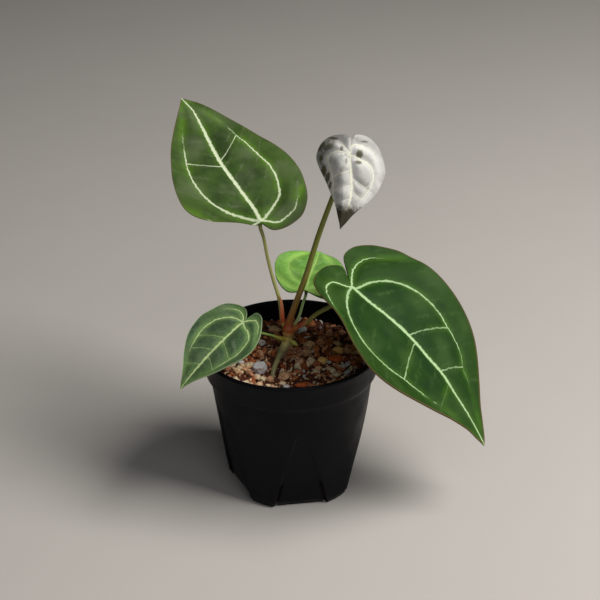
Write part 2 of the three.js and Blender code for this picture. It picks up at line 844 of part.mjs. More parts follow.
function sheathGeometry({ stalk, from, to, facing, wide }) {
  const spine = STALKS[stalk];
  const line = new THREE.CatmullRomCurve3(spine.map(([x, y, z]) => new THREE.Vector3(x, y, z)));
  const wanted = new THREE.Vector3(...facing);
  const outer = [];
  const inner = [];
  for (let row = 0; row < SHEATH.rows; row += 1) {
    const rise = row / (SHEATH.rows - 1);
    const share = THREE.MathUtils.lerp(from, to, rise);
    const { side, front } = crossFrame(line.getTangent(share), wanted);
    const centre = line.getPoint(share);
    const radius = stalkRadius(spine, share) + SHEATH.clear;
    const spread = THREE.MathUtils.lerp(wide, SHEATH.tipWidth, rise * rise);
    const outerRow = [];
    const innerRow = [];
    for (let column = 0; column < SHEATH.columns; column += 1) {
      const angle = spread * ((2 * column) / (SHEATH.columns - 1) - 1);
      const out = front.clone().multiplyScalar(Math.cos(angle)).addScaledVector(side, Math.sin(angle));
      outerRow.push(centre.clone().addScaledVector(out, radius + SHEATH.thickness));
      innerRow.push(centre.clone().addScaledVector(out, radius));
    }
    outer.push(outerRow);
    inner.push(innerRow);
  }
  return sheet(outer, inner);
}

// Distance in the blade's plane from a point to the nearest vein, the midrib among them
function veinDistance(blade, x, y) {
  const midrib = [[0, 0], [blade.length, 0]];
  let nearest = Infinity;
  for (const vein of [midrib, ...blade.veins]) {
    for (let i = 0; i + 1 < vein.length; i += 1) {
      const [x0, y0] = vein[i];
      const [x1, y1] = vein[i + 1];
      const dx = x1 - x0;
      const dy = y1 - y0;
      const along = ((x - x0) * dx + (y - y0) * dy) / (dx * dx + dy * dy);
      const share = THREE.MathUtils.clamp(along, 0, 1);
      nearest = Math.min(nearest, Math.hypot(x - x0 - share * dx, y - y0 - share * dy));
    }
  }
  return nearest;
}

// Height of a blade's middle surface over its flat plane: arch, cup, swelling between veins, margin
function bladeHeight(blade, x, y, rise, share) {
  const ahead = Math.max(x, 0) / blade.length;
  const across = y / blade.halfWidth;
  const margin = Math.max(0, (share - MARGIN_START) / (1 - MARGIN_START));
  const swell = 1 - Math.exp(-((veinDistance(blade, x, y) / VALLEY) ** 2));
  return -blade.droop * ahead ** 2 + blade.cup * across ** 2 + rise * margin ** 2 + blade.bulge * swell;
}

function halfOutline(points, spokes) {
  const line = new THREE.CatmullRomCurve3(
    points.map(([x, y, rise]) => new THREE.Vector3(x, y, rise)),
    false,
    'catmullrom',
    MARGIN_TENSION,
  );
  return line.getSpacedPoints(spokes);
}

function bladeGeometry(blade) {
  const normal = new THREE.Vector3(...blade.normal).normalize();
  const along = crossFrame(normal, new THREE.Vector3(...blade.along)).front;
  const across = new THREE.Vector3().crossVectors(normal, along);
  const leftHalf = halfOutline(blade.left, blade.spokes);
  const rightHalf = halfOutline(blade.right, blade.spokes).reverse();
  const outline = rightHalf.slice(0, -1).concat(leftHalf.slice(0, -1));
  const place = (x, y, rise, share) => {
    const point = new THREE.Vector3(...blade.attach);
    point.addScaledVector(along, x);
    point.addScaledVector(across, y);
    return point.addScaledVector(normal, bladeHeight(blade, x, y, rise, share));
  };
  const [hubX, hubY] = blade.hub;
  const middle = [place(hubX, hubY, 0, 0)];
  for (let ring = 1; ring <= blade.rings; ring += 1) {
    const share = ring / blade.rings;
    for (const corner of outline) {
      const x = THREE.MathUtils.lerp(hubX, corner.x, share);
      const y = THREE.MathUtils.lerp(hubY, corner.y, share);
      middle.push(place(x, y, corner.z, share));
    }
  }
  return thicken(middle, outline.length, blade.rings, blade.thickness);
}

// Gives a sheet of rings about a hub its thickness, split into triangles alike on both faces
function thicken(middle, count, rings, thickness) {
  const face = [];
  for (let i = 0; i < count; i += 1) {
    face.push([0, 1 + i, 1 + ((i + 1) % count)]);
  }
  for (let ring = 0; ring + 1 < rings; ring += 1) {
    for (let i = 0; i < count; i += 1) {
      const a = 1 + ring * count + i;
      const b = 1 + ring * count + ((i + 1) % count);
      face.push([a, a + count, b + count], [a, b + count, b]);
    }
  }
  const skin = meshFrom(middle, face.flat());
  const normals = skin.attributes.normal;
  const direction = new THREE.Vector3();
  const upper = [];
  const lower = [];
  middle.forEach((point, i) => {
    direction.fromBufferAttribute(normals, i);
    upper.push(point.clone().addScaledVector(direction, thickness / 2));
    lower.push(point.clone().addScaledVector(direction, -thickness / 2));
  });
  const shift = middle.length;
  const triangles = face.flat();
  for (const [a, b, c] of face) {
    triangles.push(a + shift, c + shift, b + shift);
  }
  const edge = 1 + (rings - 1) * count;
  for (let i = 0; i < count; i += 1) {
    const a = edge + i;
    const b = edge + ((i + 1) % count);
    triangles.push(a, a + shift, b + shift, a, b + shift, b);
  }
  return meshFrom(upper.concat(lower), triangles);
}

const plant = new THREE.Group();

function addPiece(name, geometry, finish) {
  const piece = new THREE.Mesh(geometry, FINISHES[finish]);
  piece.name = name;
  plant.add(piece);
}

addPiece('nursery_pot', potGeometry(), 'pot');
addPiece('growing_mix', mixGeometry(), 'mix');
CHUNKS.forEach(([name, , , , , finish], index) => addPiece(name, chunkGeometry(index, 0), finish));
addPiece('stem', stalkGeometry(STEM, 0), 'stem');
addPiece('aerial_root', offStem(stalkGeometry(ROOT, 0)), 'root');
addPiece('side_bud', offStem(stalkGeometry(BUD, 0, BUD_STEPS)), 'stem');
for (const sheath of SHEATHS) {
  addPiece(sheath.name, offStem(sheathGeometry(sheath)), 'sheath');
}
for (const [name, spine] of Object.entries(STALKS)) {
  addPiece(name, offStem(stalkGeometry(spine, 0)), 'stalk');
}
for (const blade of BLADES) {
  addPiece(blade.name, bladeGeometry(blade), BLADE_FINISH[blade.name]);
}

export default plant;
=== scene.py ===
"""A young velvet-leaf anthurium hybrid in its nursery pot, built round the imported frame.

Sizes that repeat the frame's own are in millimetres here, and every finished mesh is in metres.
"""

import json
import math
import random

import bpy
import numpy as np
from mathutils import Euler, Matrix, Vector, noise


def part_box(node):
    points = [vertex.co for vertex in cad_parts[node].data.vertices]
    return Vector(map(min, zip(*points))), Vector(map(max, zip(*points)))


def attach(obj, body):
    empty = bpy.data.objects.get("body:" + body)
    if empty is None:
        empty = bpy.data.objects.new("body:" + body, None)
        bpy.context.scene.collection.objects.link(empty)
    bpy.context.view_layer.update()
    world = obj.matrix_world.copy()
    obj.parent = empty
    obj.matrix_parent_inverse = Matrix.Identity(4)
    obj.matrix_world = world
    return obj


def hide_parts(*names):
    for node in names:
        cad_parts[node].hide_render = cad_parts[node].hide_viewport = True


bl_info = {
    "name": "Potted anthurium",
    "version": (1, 0, 0),
    "blender": (4, 5, 0),
    "location": "View3D > Sidebar > Anthurium",
    "description": "Builds a potted velvet-leaf anthurium round its packed frame",
    "category": "Add Mesh",
}

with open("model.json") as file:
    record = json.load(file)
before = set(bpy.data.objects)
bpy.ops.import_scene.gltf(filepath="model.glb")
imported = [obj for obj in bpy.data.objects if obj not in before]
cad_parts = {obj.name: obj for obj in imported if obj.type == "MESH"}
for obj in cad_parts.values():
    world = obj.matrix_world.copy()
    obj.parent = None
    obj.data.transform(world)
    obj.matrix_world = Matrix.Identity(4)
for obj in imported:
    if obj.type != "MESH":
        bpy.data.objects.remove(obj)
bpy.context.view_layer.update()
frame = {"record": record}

BODY = "root"
MM = 0.001

# Where the camera stands, in metres, and which ways it faces
CAMERA = {
    "place": (0, -0.6073127, 0.4210415),
    "right": (0.99977935, -0.01543724, -0.01424608),
    "up": (0.01979969, 0.4660011, 0.88456257),
    "ahead": (0.00701652, 0.88464946, -0.46620393),
}

# The pot's flats, each an upside-down V, and the turned profile of its outside and inside
FLAT = {"foot_half": 24.0, "tip_half": 1.0, "apex": 52.0, "foot_distance": 28.4, "step": 1.6}
FLAT_COLUMNS = 9
ROUND_COLUMNS = 22
BODY_FOOT_RADIUS = 32.5
BODY_TOP_RADIUS = 40.5
BODY_TOP = 62.5
BODY_SPREAD = BODY_TOP_RADIUS - BODY_FOOT_RADIUS
OUTSIDE = [
    (31.0, 0.0),
    (31.7, 0.5),
    (BODY_FOOT_RADIUS, 2.6),
    (32.9, 3.0),
] + [(BODY_FOOT_RADIUS + BODY_SPREAD * z / BODY_TOP, float(z)) for z in range(6, 61, 2)] + [
    (BODY_TOP_RADIUS, BODY_TOP),
    (41.3, 62.9),
    (42.2, 63.6),
    (42.6, 64.3),
    (42.9, 65.4),
    (43.9, 75.7),
    (44.6, 76.0),
    (45.0, 76.5),
    (45.0, 77.4),
    (44.7, 77.9),
    (44.2, 78.0),
]
INSIDE = [
    (43.5, 77.9),
    (43.2, 77.4),
    (42.7, 76.0),
    (42.0, 67.2),
    (41.3, 65.2),
    (39.1, 62.8),
]
SLIT = {"width": 1.3, "height": 16.0, "depth": 9.0, "floor_reach": 9.0, "floor_height": 5.0}

# The mix's surface
MIX_EDGE = 68.2
MIX_RISE = 2.2
MIX_RADIUS = 41.5
MIX_RINGS = 26
MIX_CROWN_RADIUS = 42.0

# The bed under the chips: how far it lies under the mix's surface, its bumps, and the dip by the root
BED_SINK = 0.6
BED_BUMP = 0.7
BED_DIP = {"x": -9.2, "y": -15.0, "depth": 2.4, "spread": 9}

# The round spot that the stem keeps free of chips, as (x, y, radius)
STEM_SPOT = (-4.4, 0.0, 3.0)

# The loose chunks are a little larger than their solids, to show above the chips
CHUNK_GROWTH = 1.12

# The short stem, the thick root, a side bud and the leaf stalks, as [x, y, z, radius]
STEM = [
    (-4.7, 0.2, 60, 2.4),
    (-4.6, 0.1, 68, 2.5),
    (-4.5, 0, 71, 2.5),
    (-4.3, 0, 72.4, 2.9),
    (-3.9, 0, 73.8, 2.2),
    (-2.6, 0, 77.2, 2.0),
    (-1.7, 0, 80.2, 2.2),
    (-1.2, 0, 83.4, 2.9),
    (-1.0, 0, 86.2, 3.0),
    (-0.9, -0.1, 88.2, 2.0),
]
ROOT = [
    (-4.9, -0.6, 73.2, 1.2),
    (-5.5, -3.6, 73.0, 1.3),
    (-6.8, -8, 72.0, 1.3),
    (-8.4, -12.4, 70.4, 1.25),
    (-9.3, -15.6, 67.4, 1.2),
    (-9.6, -17.2, 63.5, 1.1),
]
BUD = [
    (-2.2, -0.2, 79.2, 0.9),
    (0.2, -0.9, 78.6, 1.1),
    (1.9, -1.3, 77.6, 1.2),
    (3.0, -1.5, 76.6, 0.5),
]
STALKS = {
    "petiole_1": [
        (-1.9, 0.6, 84, 1.2),
        (-3.7, 0.8, 88, 1.15),
        (-5.1, 1.2, 100.4, 0.95),
        (-8.2, 2.2, 112.5, 0.82),
        (-10.4, 3.0, 122.9, 0.78),
        (-12.0, 4.0, 132.6, 0.8),
        (-13.5, 4.4, 138.4, 0.95),
        (-13.3, 3.36, 141.24, 1.0),
    ],
    "petiole_2": [
        (-1.0, -0.3, 85, 1.7),
        (-0.7, -0.5, 89.2, 1.65),
        (1.2, -0.8, 95, 1.55),
        (4.4, -1.2, 104.6, 1.45),
        (7.6, -1.4, 114, 1.4),
        (14.3, -1.4, 136.8, 1.3),
        (21.0, -0.8, 155.9, 1.2),
        (25.6, 0.4, 168.5, 1.15),
        (27.8, -0.6, 175.6, 1.15),
        (28.42, -5.24, 178.1, 1.15),
    ],
    "petiole_3": [
        (0.0, -1.4, 84.4, 1.3),
        (2.8, -2.6, 87.4, 1.3),
        (7.5, -3, 90, 1.15),
        (13.1, -3, 95, 1.08),
        (18.7, -3, 98.3, 1.05),
        (24.0, -2.4, 101.2, 1.05),
        (27.7, -2.4, 105.0, 1.1),
        (29.42, -3.76, 108.78, 1.15),
    ],
    "petiole_4": [
        (-1.6, -0.6, 79.2, 1.0),
        (-4.8, -2.1, 80.9, 1.05),
        (-9.2, -4.5, 84.1, 0.68),
        (-14.6, -8, 87.7, 0.62),
        (-19.8, -10.9, 91.0, 0.62),
        (-22.3, -11.8, 93.2, 0.7),
        (-22.66, -12.74, 95.66, 0.75),
    ],
    "petiole_5": [
        (0.4, 1.2, 84.6, 0.85),
        (2.8, 3, 87, 0.8),
        (4.8, 5, 90.9, 0.72),
        (6.3, 7.5, 95.3, 0.68),
        (7.7, 9.7, 98.2, 0.75),
        (8.08, 10.08, 100.82, 0.8),
    ],
}
STALK_FRONT = Vector((0.2, -1, 0.1))
STALK_SIDES = 20
STALK_ROWS = 110

# Papery sheaths that wrap one side of a stalk's base, along a stretch of its centre line
SHEATHS = {
    "cataphyll_1": {
        "stalk": "petiole_1",
        "start": 0.155,
        "end": 0.31,
        "facing": (0.55, -0.83, 0.1),
        "wide": 1.25,
    },
    "cataphyll_2": {
        "stalk": "petiole_3",
        "start": 0.185,
        "end": 0.33,
        "facing": (-0.25, -0.45, 0.85),
        "wide": 1.3,
    },
}
SHEATH_CLEAR = 0.2
SHEATH_THICKNESS = 0.3
SHEATH_TIP = 0.12

# Blades: outlines run from the notch at the stalk round each half to the tip, as (along, across, rise),
# and veins as (along, across), all in the blade's own millimetres. Crossings are the side veins' feet on
# the midrib; lean gives how they sweep forward on each side.
BLADES = {
    "blade_1": {
        "attach": (-13.2, 3, 142),
        "normal": (0.13, -0.42, 0.9),
        "along": (-0.44, 0.79, 0.43),
        "length": 89.7,
        "half_width": 30,
        "droop": 3,
        "cup": 1,
        "hub": (14, 0),
        "bulge": 0.9,
        "quilt": 0.3,
        "left": [
            (-2, 0, 0), (-0.4, 2.8, -1.5), (3.6, 8.1, -2.5), (7.2, 14.6, -3), (10.2, 20.6, -3),
            (14.7, 26.7, -2.5), (20.3, 30.1, -1.5), (27.3, 30.6, -1), (38.6, 28.2, -1),
            (50.4, 23.7, -1), (59.6, 19.4, -0.5), (71.7, 12, -0.5), (83.3, 4.2, 0), (89.7, 0, 0),
        ],
        "right": [
            (-2, 0, 0), (-4.8, -1.2, -0.5), (-6.4, -4, -2), (-6.7, -9.2, -2.5), (-5.5, -15.5, -2.5),
            (-3, -21.2, -2), (2.4, -26.2, -1.5), (8, -29.2, -1), (15.2, -31.4, -1), (23.1, -32.2, -1),
            (32.8, -31.3, -1), (41.5, -28.4, -1), (50.1, -24, -1), (59.1, -19.4, -0.5),
            (68.6, -14.7, -0.5), (77.1, -10, 0), (84, -5.6, 0), (89.7, 0, 0),
        ],
        "midrib": [
            (0, 0), (7.9, -0.4), (22.4, 0.6), (39.7, 1.5), (53.7, 0.7), (67.9, -0.7), (79.4, -1.4), (89.7, 0),
        ],
        "primary_left": [
            (0, 0), (2.1, 2.4), (7.8, 8.8), (12.4, 13.5), (18.9, 17.2), (26.2, 18.9), (35.4, 19.2),
            (44.1, 17.8), (52.7, 15.2), (61.3, 12.2), (69.8, 8.5), (80, 4),
        ],
        "primary_right": [
            (0, 0), (2.0, -4.2), (6.6, -10.8), (11.8, -16.1), (18.3, -18.5), (24.6, -19.9), (31.6, -19.9),
            (38.1, -18.4), (47.4, -16.4), (54.3, -14.2), (63.9, -12.0), (76, -7),
        ],
        "basal_left": [(0, 0), (0.2, 4), (3.4, 12), (8.5, 19)],
        "basal_right": [(0, 0), (-0.6, -2.9), (-2.9, -8.3), (-0.7, -15.2), (1.6, -19.4), (5.4, -22.2)],
        "crossings": [(1, 38, 0.85), (-1, 41.5, 0.85)],
        "lean": {1: (0.177, 0.0213), -1: (0.653, 0.0209)},
    },
    "blade_2": {
        "attach": (28.5, -6, 178.4),
        "normal": (0.1, -0.925, 0.368),
        "along": (-0.137, -0.379, -0.915),
        "length": 34.3,
        "half_width": 16,
        "droop": 1.8,
        "cup": -5,
        "hub": (5, 0),
        "bulge": 0.9,
        "quilt": 1.1,
        "left": [
            (-1.8, 0, 0), (-5, 0.35, -0.5), (-8.6, 0.7, -1.2), (-9.6, 3.4, -2), (-8.9, 7.6, -2.5),
            (-7.2, 10.6, -3), (-4.7, 13.5, -3), (-1.1, 15.8, -3), (2.5, 17.5, -3), (6.2, 18.5, -3),
            (10.1, 18, -3), (13.8, 16.5, -3), (18.7, 13.2, -2.5), (22.9, 9.4, -2), (26.8, 5.4, -1),
            (31, 2.2, 0), (34.3, 0, 0),
        ],
        "right": [
            (-1.8, 0, 0), (-5, -0.35, -0.5), (-8.3, -0.8, -1.2), (-8.8, -3.8, -2.6),
            (-7.5, -8.6, -5.5), (-4.5, -11.6, -8), (-0.7, -13.1, -9), (3.5, -13.3, -9),
            (7.5, -11.8, -8), (12.8, -8.8, -6), (18.2, -5.9, -4), (22.4, -3.8, -2), (26.3, -2.4, -1),
            (30.5, -1.1, 0), (34.3, 0, 0),
        ],
        "midrib": [(0, 0), (4, 0.6), (10, 2.0), (18.6, 2.9), (26, 1.4), (34.3, 0)],
        "primary_left": [
            (0, 0), (1.3, 4.3), (3, 8.7), (5.7, 11.6), (10, 12.6), (14.9, 11.4), (20.8, 7.6), (26, 4),
        ],
        "primary_right": [
            (0, 0), (-0.9, -5), (1.3, -8.6), (4.6, -8.7), (8.9, -6.8), (12.7, -5.6), (18.6, -4.8), (26, -2),
        ],
        "basal_left": [(0, 0), (-4.2, 0.9), (-4.8, 4), (-2.4, 10.8), (3, 14.3), (10, 15.2)],
        "basal_right": [(0, 0), (-3, -2.5), (-5.5, -6), (-4, -10.2), (1, -12.6)],
        "crossings": [
            (1, 10, 0.7), (1, 16.2, 0.7), (1, 22, 0.5), (-1, 7, 0.6), (-1, 13.5, 0.6), (-1, 20, 0.5),
        ],
        "lean": {1: (0.8, -0.022), -1: (0.3, 0.02)},
        "marks": [
            (-0.8, 4.3, 2.3, 1.9, 0.9), (3.1, 4.2, 1.0, 2.2, 0.85), (-2.4, -3.9, 1.4, 0.9, 0.75),
            (3, -1.5, 1.8, 0.7, 0.5), (-3.5, -12, 2.6, 1.8, 0.85), (-6.6, -7.5, 0.8, 2.4, 0.8),
            (-1.4, -12.6, 1.8, 1.2, 0.85), (3, -11.6, 1.6, 0.9, 0.8), (8.4, -10, 3.2, 1.4, 0.95),
            (11.6, -8, 3.4, 1.1, 0.95), (14.9, -6.6, 2.6, 0.8, 0.9), (10, -3.8, 1.5, 1.4, 0.4),
            (6.8, -2.9, 1.6, 1.2, 0.3), (12.2, 10, 1.3, 0.9, 0.35), (25.4, 3.6, 1.3, 1.2, 0.8),
            (-6.8, 6, 0.5, 2.0, 0.7),
        ],
    },
    "blade_3": {
        "attach": (29.7, -4, 109.5),
        "normal": (0.349, -0.299, 0.888),
        "along": (0.785, -0.425, -0.452),
        "length": 95,
        "half_width": 40,
        "droop": 33.5,
        "cup": 6.2,
        "hub": (0, 0),
        "bulge": 0.9,
        "quilt": 0.3,
        "left": [
            (-1.6, 1.2, 0), (-7.6, 6.8, 0), (-12.6, 11.8, 0), (-13.8, 16.1, 0), (-12.4, 22.1, 0),
            (-7.6, 28.1, 0), (-1.4, 32.3, 0), (6.5, 36.4, 0), (16, 39, 0), (25.9, 40, 0),
            (35.4, 39.5, 0), (45.1, 37.8, 0), (53.7, 35.1, 0), (61, 31.3, 0), (67.4, 26.2, 0),
            (75, 18.7, 0), (82, 11.6, 0), (87.6, 7.2, 0), (92, 3.8, 0), (95, 0.4, 0),
        ],
        "right": [
            (-1.6, 1.2, 0), (-6.3, 4.2, 0), (-10.2, 5.6, 0.5), (-13.7, 2.3, 1), (-15.9, -3.1, 1.5),
            (-15.9, -11, 2), (-13.1, -20, 3.5), (-8.1, -26, 5), (-2, -31.4, 7), (5.2, -34.9, 8),
            (11.8, -37.6, 7.5), (18.7, -41, 6), (26.7, -44.4, 4), (33.8, -45.4, 2.5), (41, -42, 1),
            (49.2, -35.9, 0), (58, -28.8, 0), (68.2, -19.6, 0), (76.4, -11.4, 0), (83.9, -5.2, 0),
            (90.1, -2.2, 0), (95, 0.4, 0),
        ],
        "midrib": [
            (0, 0), (10.8, -1), (23.1, 0), (36.2, 0.8), (48.6, 0.7), (58.6, 1.6), (70.7, 0.9), (82.9, 1),
            (95, 0.4),
        ],
        "primary_left": [
            (0, 0), (2.3, 1.3), (4.7, 9.1), (9.3, 16.2), (15.3, 21.1), (22.7, 24.4), (31.3, 25.9),
            (39.7, 25.6),
            (46.8, 23.8), (53.9, 22.2), (59.7, 19.8), (65.0, 15.6), (73.1, 12.3), (84, 6),
        ],
        "primary_right": [
            (0, 0), (1.5, -7.2), (6.6, -16.3), (13.3, -23), (22.4, -28.4), (30.4, -29.5), (39.2, -28.1),
            (46.7, -24.6), (52.7, -22.3), (60.7, -18.2), (72, -11), (84, -4.5),
        ],
        "basal_left": [(0, 0), (-3.4, 5.5), (-5.5, 10.6), (-5.6, 17.1), (-3.6, 22.3), (0.7, 26.5)],
        "basal_right": [(0, 0), (-1.3, -1.6), (-5.3, -3.6), (-8.3, -5.9), (-8.8, -11.3), (-6.4, -16.4)],
        "crossings": [(1, 35.2, 0.75), (-1, 39.7, 0.9), (1, 57.3, 0.7), (-1, 64, 0.12)],
        "lean": {1: (0.38, 0.006), -1: (0.2, 0.004)},
    },
    "blade_4": {
        "attach": (-22.7, -13, 96.4),
        "normal": (-0.05, -0.331, 0.942),
        "along": (-0.701, -0.66, -0.269),
        "length": 43.1,
        "half_width": 17,
        "droop": 10.6,
        "cup": 1.5,
        "hub": (6, 0),
        "bulge": 0.7,
        "quilt": 0.6,
        "left": [
            (-1.5, 0, 0), (-4.4, 0.9, 0.8), (-7.3, 2.4, 1.2), (-7, 5.8, 1), (-3.4, 9.4, 0.5),
            (1.1, 12.9, 0), (4.8, 14.9, 0), (9, 16.6, 0), (12.9, 17.4, 0), (17, 16.8, 0),
            (20.5, 15, 0), (24, 12.8, 0), (27.7, 10.5, 0), (31.2, 7.9, 0), (34.4, 5.2, 0),
            (38, 2.6, 0), (43.1, 0, 0),
        ],
        "right": [
            (-1.5, 0, 0), (-4.2, -1.6, 0), (-6.4, -4.3, 0), (-6.2, -7.9, 0), (-4.3, -11.6, 0),
            (-1.5, -14.2, 0), (2.7, -15.8, 0), (6.9, -16.9, 0), (12.2, -17, 0), (17.6, -16.4, 0),
            (21.9, -15.2, 0), (26, -13.1, 0), (30.5, -10, 0), (34.2, -6.8, 0), (38, -3.8, 0),
            (43.1, 0, 0),
        ],
        "midrib": [(0, 0), (14, 0.3), (28, 0.2), (43.1, 0)],
        "primary_left": [
            (0, 0), (2.1, 3.1), (2.9, 6), (5.3, 9.3), (8.3, 11.1), (12.4, 11.9), (16.2, 11.9), (20.5, 10.6),
            (28, 7.6), (36, 3),
        ],
        "primary_right": [
            (0, 0), (1.2, -5.4), (4, -8.6), (7.8, -10.8), (12.2, -11.7), (16.8, -11.8), (20.4, -11.1),
            (25, -9.8), (29.8, -7.8), (37, -3.6),
        ],
        "basal_left": [(0, 0), (-3, 2.6), (-4, 5.5), (-1, 9.5), (3, 12.4)],
        "basal_right": [(0, 0), (-3, -3), (-3.6, -7), (-1, -11), (3, -13.6)],
        "crossings": [(1, 14, 0.4), (-1, 12, 0.4), (-1, 20, 0.4), (1, 24, 0.4), (-1, 29, 0.3)],
        "lean": {1: (0.5, 0.01), -1: (0.5, 0.01)},
    },
    "blade_5": {
        "attach": (8.1, 10, 101.6),
        "normal": (0.03, -0.12, 0.992),
        "along": (0.183, 0.977, 0.112),
        "length": 41,
        "half_width": 17,
        "droop": 4.1,
        "cup": -1,
        "hub": (6, 0),
        "bulge": 0.7,
        "quilt": 0.5,
        "left": [
            (-1.6, 0, 0), (-3, 2.6, 0), (-4.8, 4.9, 0), (-5.8, 8, 0.5), (-3, 11.4, 1), (2.3, 14.3, 1),
            (8, 16.6, 1), (14, 18.3, 1), (20.5, 19.2, 1.5), (26.5, 18.2, 2.5), (31.4, 14.4, 2.5),
            (35.4, 9.2, 1.5), (38.4, 4.4, 0.5), (41, 0, 0),
        ],
        "right": [
            (-1.6, 0, 0), (-3.4, -3, 0), (-6, -6.4, 0), (-7.3, -10.2, 0), (-4.5, -14, 0),
            (0.5, -16.6, 0), (6.5, -18, 0), (13, -18, 0), (19.5, -17, 0), (25.5, -14.6, 0),
            (31.4, -11.3, 0), (35.9, -6.6, 0), (39.2, -2.4, 0), (41, 0, 0),
        ],
        "midrib": [(0, 0), (14, 0.2), (28, -0.2), (41, 0)],
        "primary_left": [(0, 0), (5.5, 4.1), (8.4, 7.4), (15, 11.1), (21.5, 12.6), (28, 11), (36, 5)],
        "primary_right": [(0, 0), (3, -7), (7, -10.6), (12, -12.4), (18, -12.4), (24, -11), (34, -5)],
        "basal_left": [(0, 0), (-1, 4), (0, 8), (5, 13)],
        "basal_right": [(0, 0), (-2.5, -4), (-3, -9), (1, -13.5)],
        "crossings": [(1, 12, 0.4), (-1, 14, 0.4), (1, 21, 0.4), (-1, 24, 0.4)],
        "lean": {1: (0.5, 0.01), -1: (0.5, 0.01)},
    },
}
MARGIN_START = 0.3
VALLEY = 4.0
CELL_VALLEY = 2.2
LEAF_THICKNESS = 0.6
SPOKE_STEP = 0.9
RING_STEP = 1.1
UV_SPAN = 100.0

# How each blade is coloured: sRGB colours, the strength of its pale net and of its velvet; its grey patches
# are painted sheen on the green blades and real grey mottling on the young silver blade
LEAF_STYLES = {
    "blade_1": {
        "dark": (42, 60, 28),
        "light": (66, 92, 36),
        "outer": (70, 94, 38),
        "glow": (82, 118, 34),
        "mottle_and_painted_sheen": (92, 104, 76),
        "deep": (52, 68, 36),
        "depth": 0.3,
        "vein": (206, 218, 184),
        "edge": (88, 78, 50),
        "net": 0.0,
        "net_size": 2.6,
        "width": 1.0,
        "sheen": 0.05,
    },
    "blade_3": {
        "dark": (24, 52, 18),
        "light": (46, 80, 16),
        "outer": (50, 80, 16),
        "glow": (56, 92, 28),
        "mottle_and_painted_sheen": (58, 84, 40),
        "deep": (16, 44, 18),
        "depth": 0.6,
        "vein": (168, 196, 148),
        "edge": (96, 74, 48),
        "net": 0.0,
        "net_size": 2.6,
        "width": 0.95,
        "sheen": 0.0,
    },
    "blade_2": {
        "dark": (166, 166, 165),
        "light": (196, 195, 194),
        "outer": (190, 189, 188),
        "glow": (206, 205, 202),
        "mottle_and_painted_sheen": (140, 143, 140),
        "deep": (150, 153, 152),
        "depth": 0.5,
        "vein": (226, 226, 206),
        "edge": (176, 170, 166),
        "net": 0.1,
        "net_size": 3.4,
        "width": 0.8,
        "sheen": 0.1,
    },
    "blade_4": {
        "dark": (56, 78, 48),
        "light": (78, 106, 62),
        "outer": (82, 110, 66),
        "glow": (98, 128, 74),
        "mottle_and_painted_sheen": (92, 110, 84),
        "deep": (40, 60, 46),
        "depth": 0.85,
        "vein": (176, 196, 138),
        "edge": (150, 168, 126),
        "net": 0.04,
        "net_size": 2.6,
        "width": 0.85,
        "sheen": 0.05,
    },
    "blade_5": {
        "dark": (84, 136, 50),
        "light": (122, 172, 70),
        "outer": (128, 176, 78),
        "glow": (148, 192, 92),
        "mottle_and_painted_sheen": (130, 172, 104),
        "deep": (84, 138, 58),
        "depth": 0.6,
        "vein": (160, 196, 110),
        "edge": (84, 112, 58),
        "net": 0.2,
        "net_size": 2.8,
        "width": 0.62,
        "sheen": 0.04,
    },
}
BLADE_SLOT = {
    "blade_1": "velvet_leaf",
    "blade_2": "young_leaf",
    "blade_3": "velvet_leaf",
    "blade_4": "fresh_leaf",
    "blade_5": "fresh_leaf",
}


def srgb(red, green, blue):
    """A colour given as on a screen, 0 to 255, in the linear values that a shader takes."""
    linear = []
    for part in (red / 255, green / 255, blue / 255):
        linear.append(part / 12.92 if part <= 0.04045 else ((part + 0.055) / 1.055) ** 2.4)
    return (*linear, 1.0)


def deselect():
    bpy.ops.object.select_all(action="DESELECT")


def focus(piece):
    """Selects one piece alone and makes it active."""
    deselect()
    piece.select_set(True)
    bpy.context.view_layer.objects.active = piece


def edit_all(piece, *steps):
    """Runs operators in edit mode with all of the piece selected."""
    focus(piece)
    bpy.ops.object.mode_set(mode="EDIT")
    bpy.ops.mesh.select_all(action="SELECT")
    for step in steps:
        step()
    bpy.ops.object.mode_set(mode="OBJECT")


def merge(piece, distance=0.00001):
    edit_all(piece, lambda: bpy.ops.mesh.remove_doubles(threshold=distance))


def face_out(piece):
    edit_all(piece, lambda: bpy.ops.mesh.normals_make_consistent(inside=False))


def apply_modifiers(piece):
    focus(piece)
    for modifier in list(piece.modifiers):
        bpy.ops.object.modifier_apply(modifier=modifier.name)


def smooth(piece, degrees=40):
    focus(piece)
    bpy.ops.object.shade_smooth_by_angle(angle=math.radians(degrees))


def settle(piece, name, slot, finishes, *nodes):
    """Names a finished piece, gives it its finishes and ties it to the frame."""
    piece.name = name
    piece.data.name = name
    piece.data.materials.clear()
    for finish in finishes:
        piece.data.materials.append(finish)
    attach(piece, BODY)
    if nodes:
        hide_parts(*nodes)
    return piece


def joined(pieces):
    """One piece made of several."""
    deselect()
    for piece in pieces:
        piece.select_set(True)
    bpy.context.view_layer.objects.active = pieces[0]
    bpy.ops.object.join()
    return bpy.context.view_layer.objects.active


def grid(columns, rows, place):
    """A grid whose corners are placed by their share across, share up; returns it with those shares."""
    deselect()
    bpy.ops.mesh.primitive_grid_add(x_subdivisions=columns, y_subdivisions=rows, size=1)
    piece = bpy.context.object
    corners = piece.data.vertices
    flat = np.zeros(len(corners) * 3)
    corners.foreach_get("co", flat)
    flat = flat.reshape(-1, 3)
    across = np.clip(flat[:, 0] + 0.5, 0, 1)
    up = np.clip(flat[:, 1] + 0.5, 0, 1)
    corners.foreach_set("co", place(across, up).reshape(-1))
    piece.data.update()
    return piece, across, up


def mark(piece, name, values):
    """Stores one number a corner for the materials to read."""
    attribute = piece.data.attributes.new(name, "FLOAT", "POINT")
    attribute.data.foreach_set("value", np.asarray(values, dtype=np.float32))


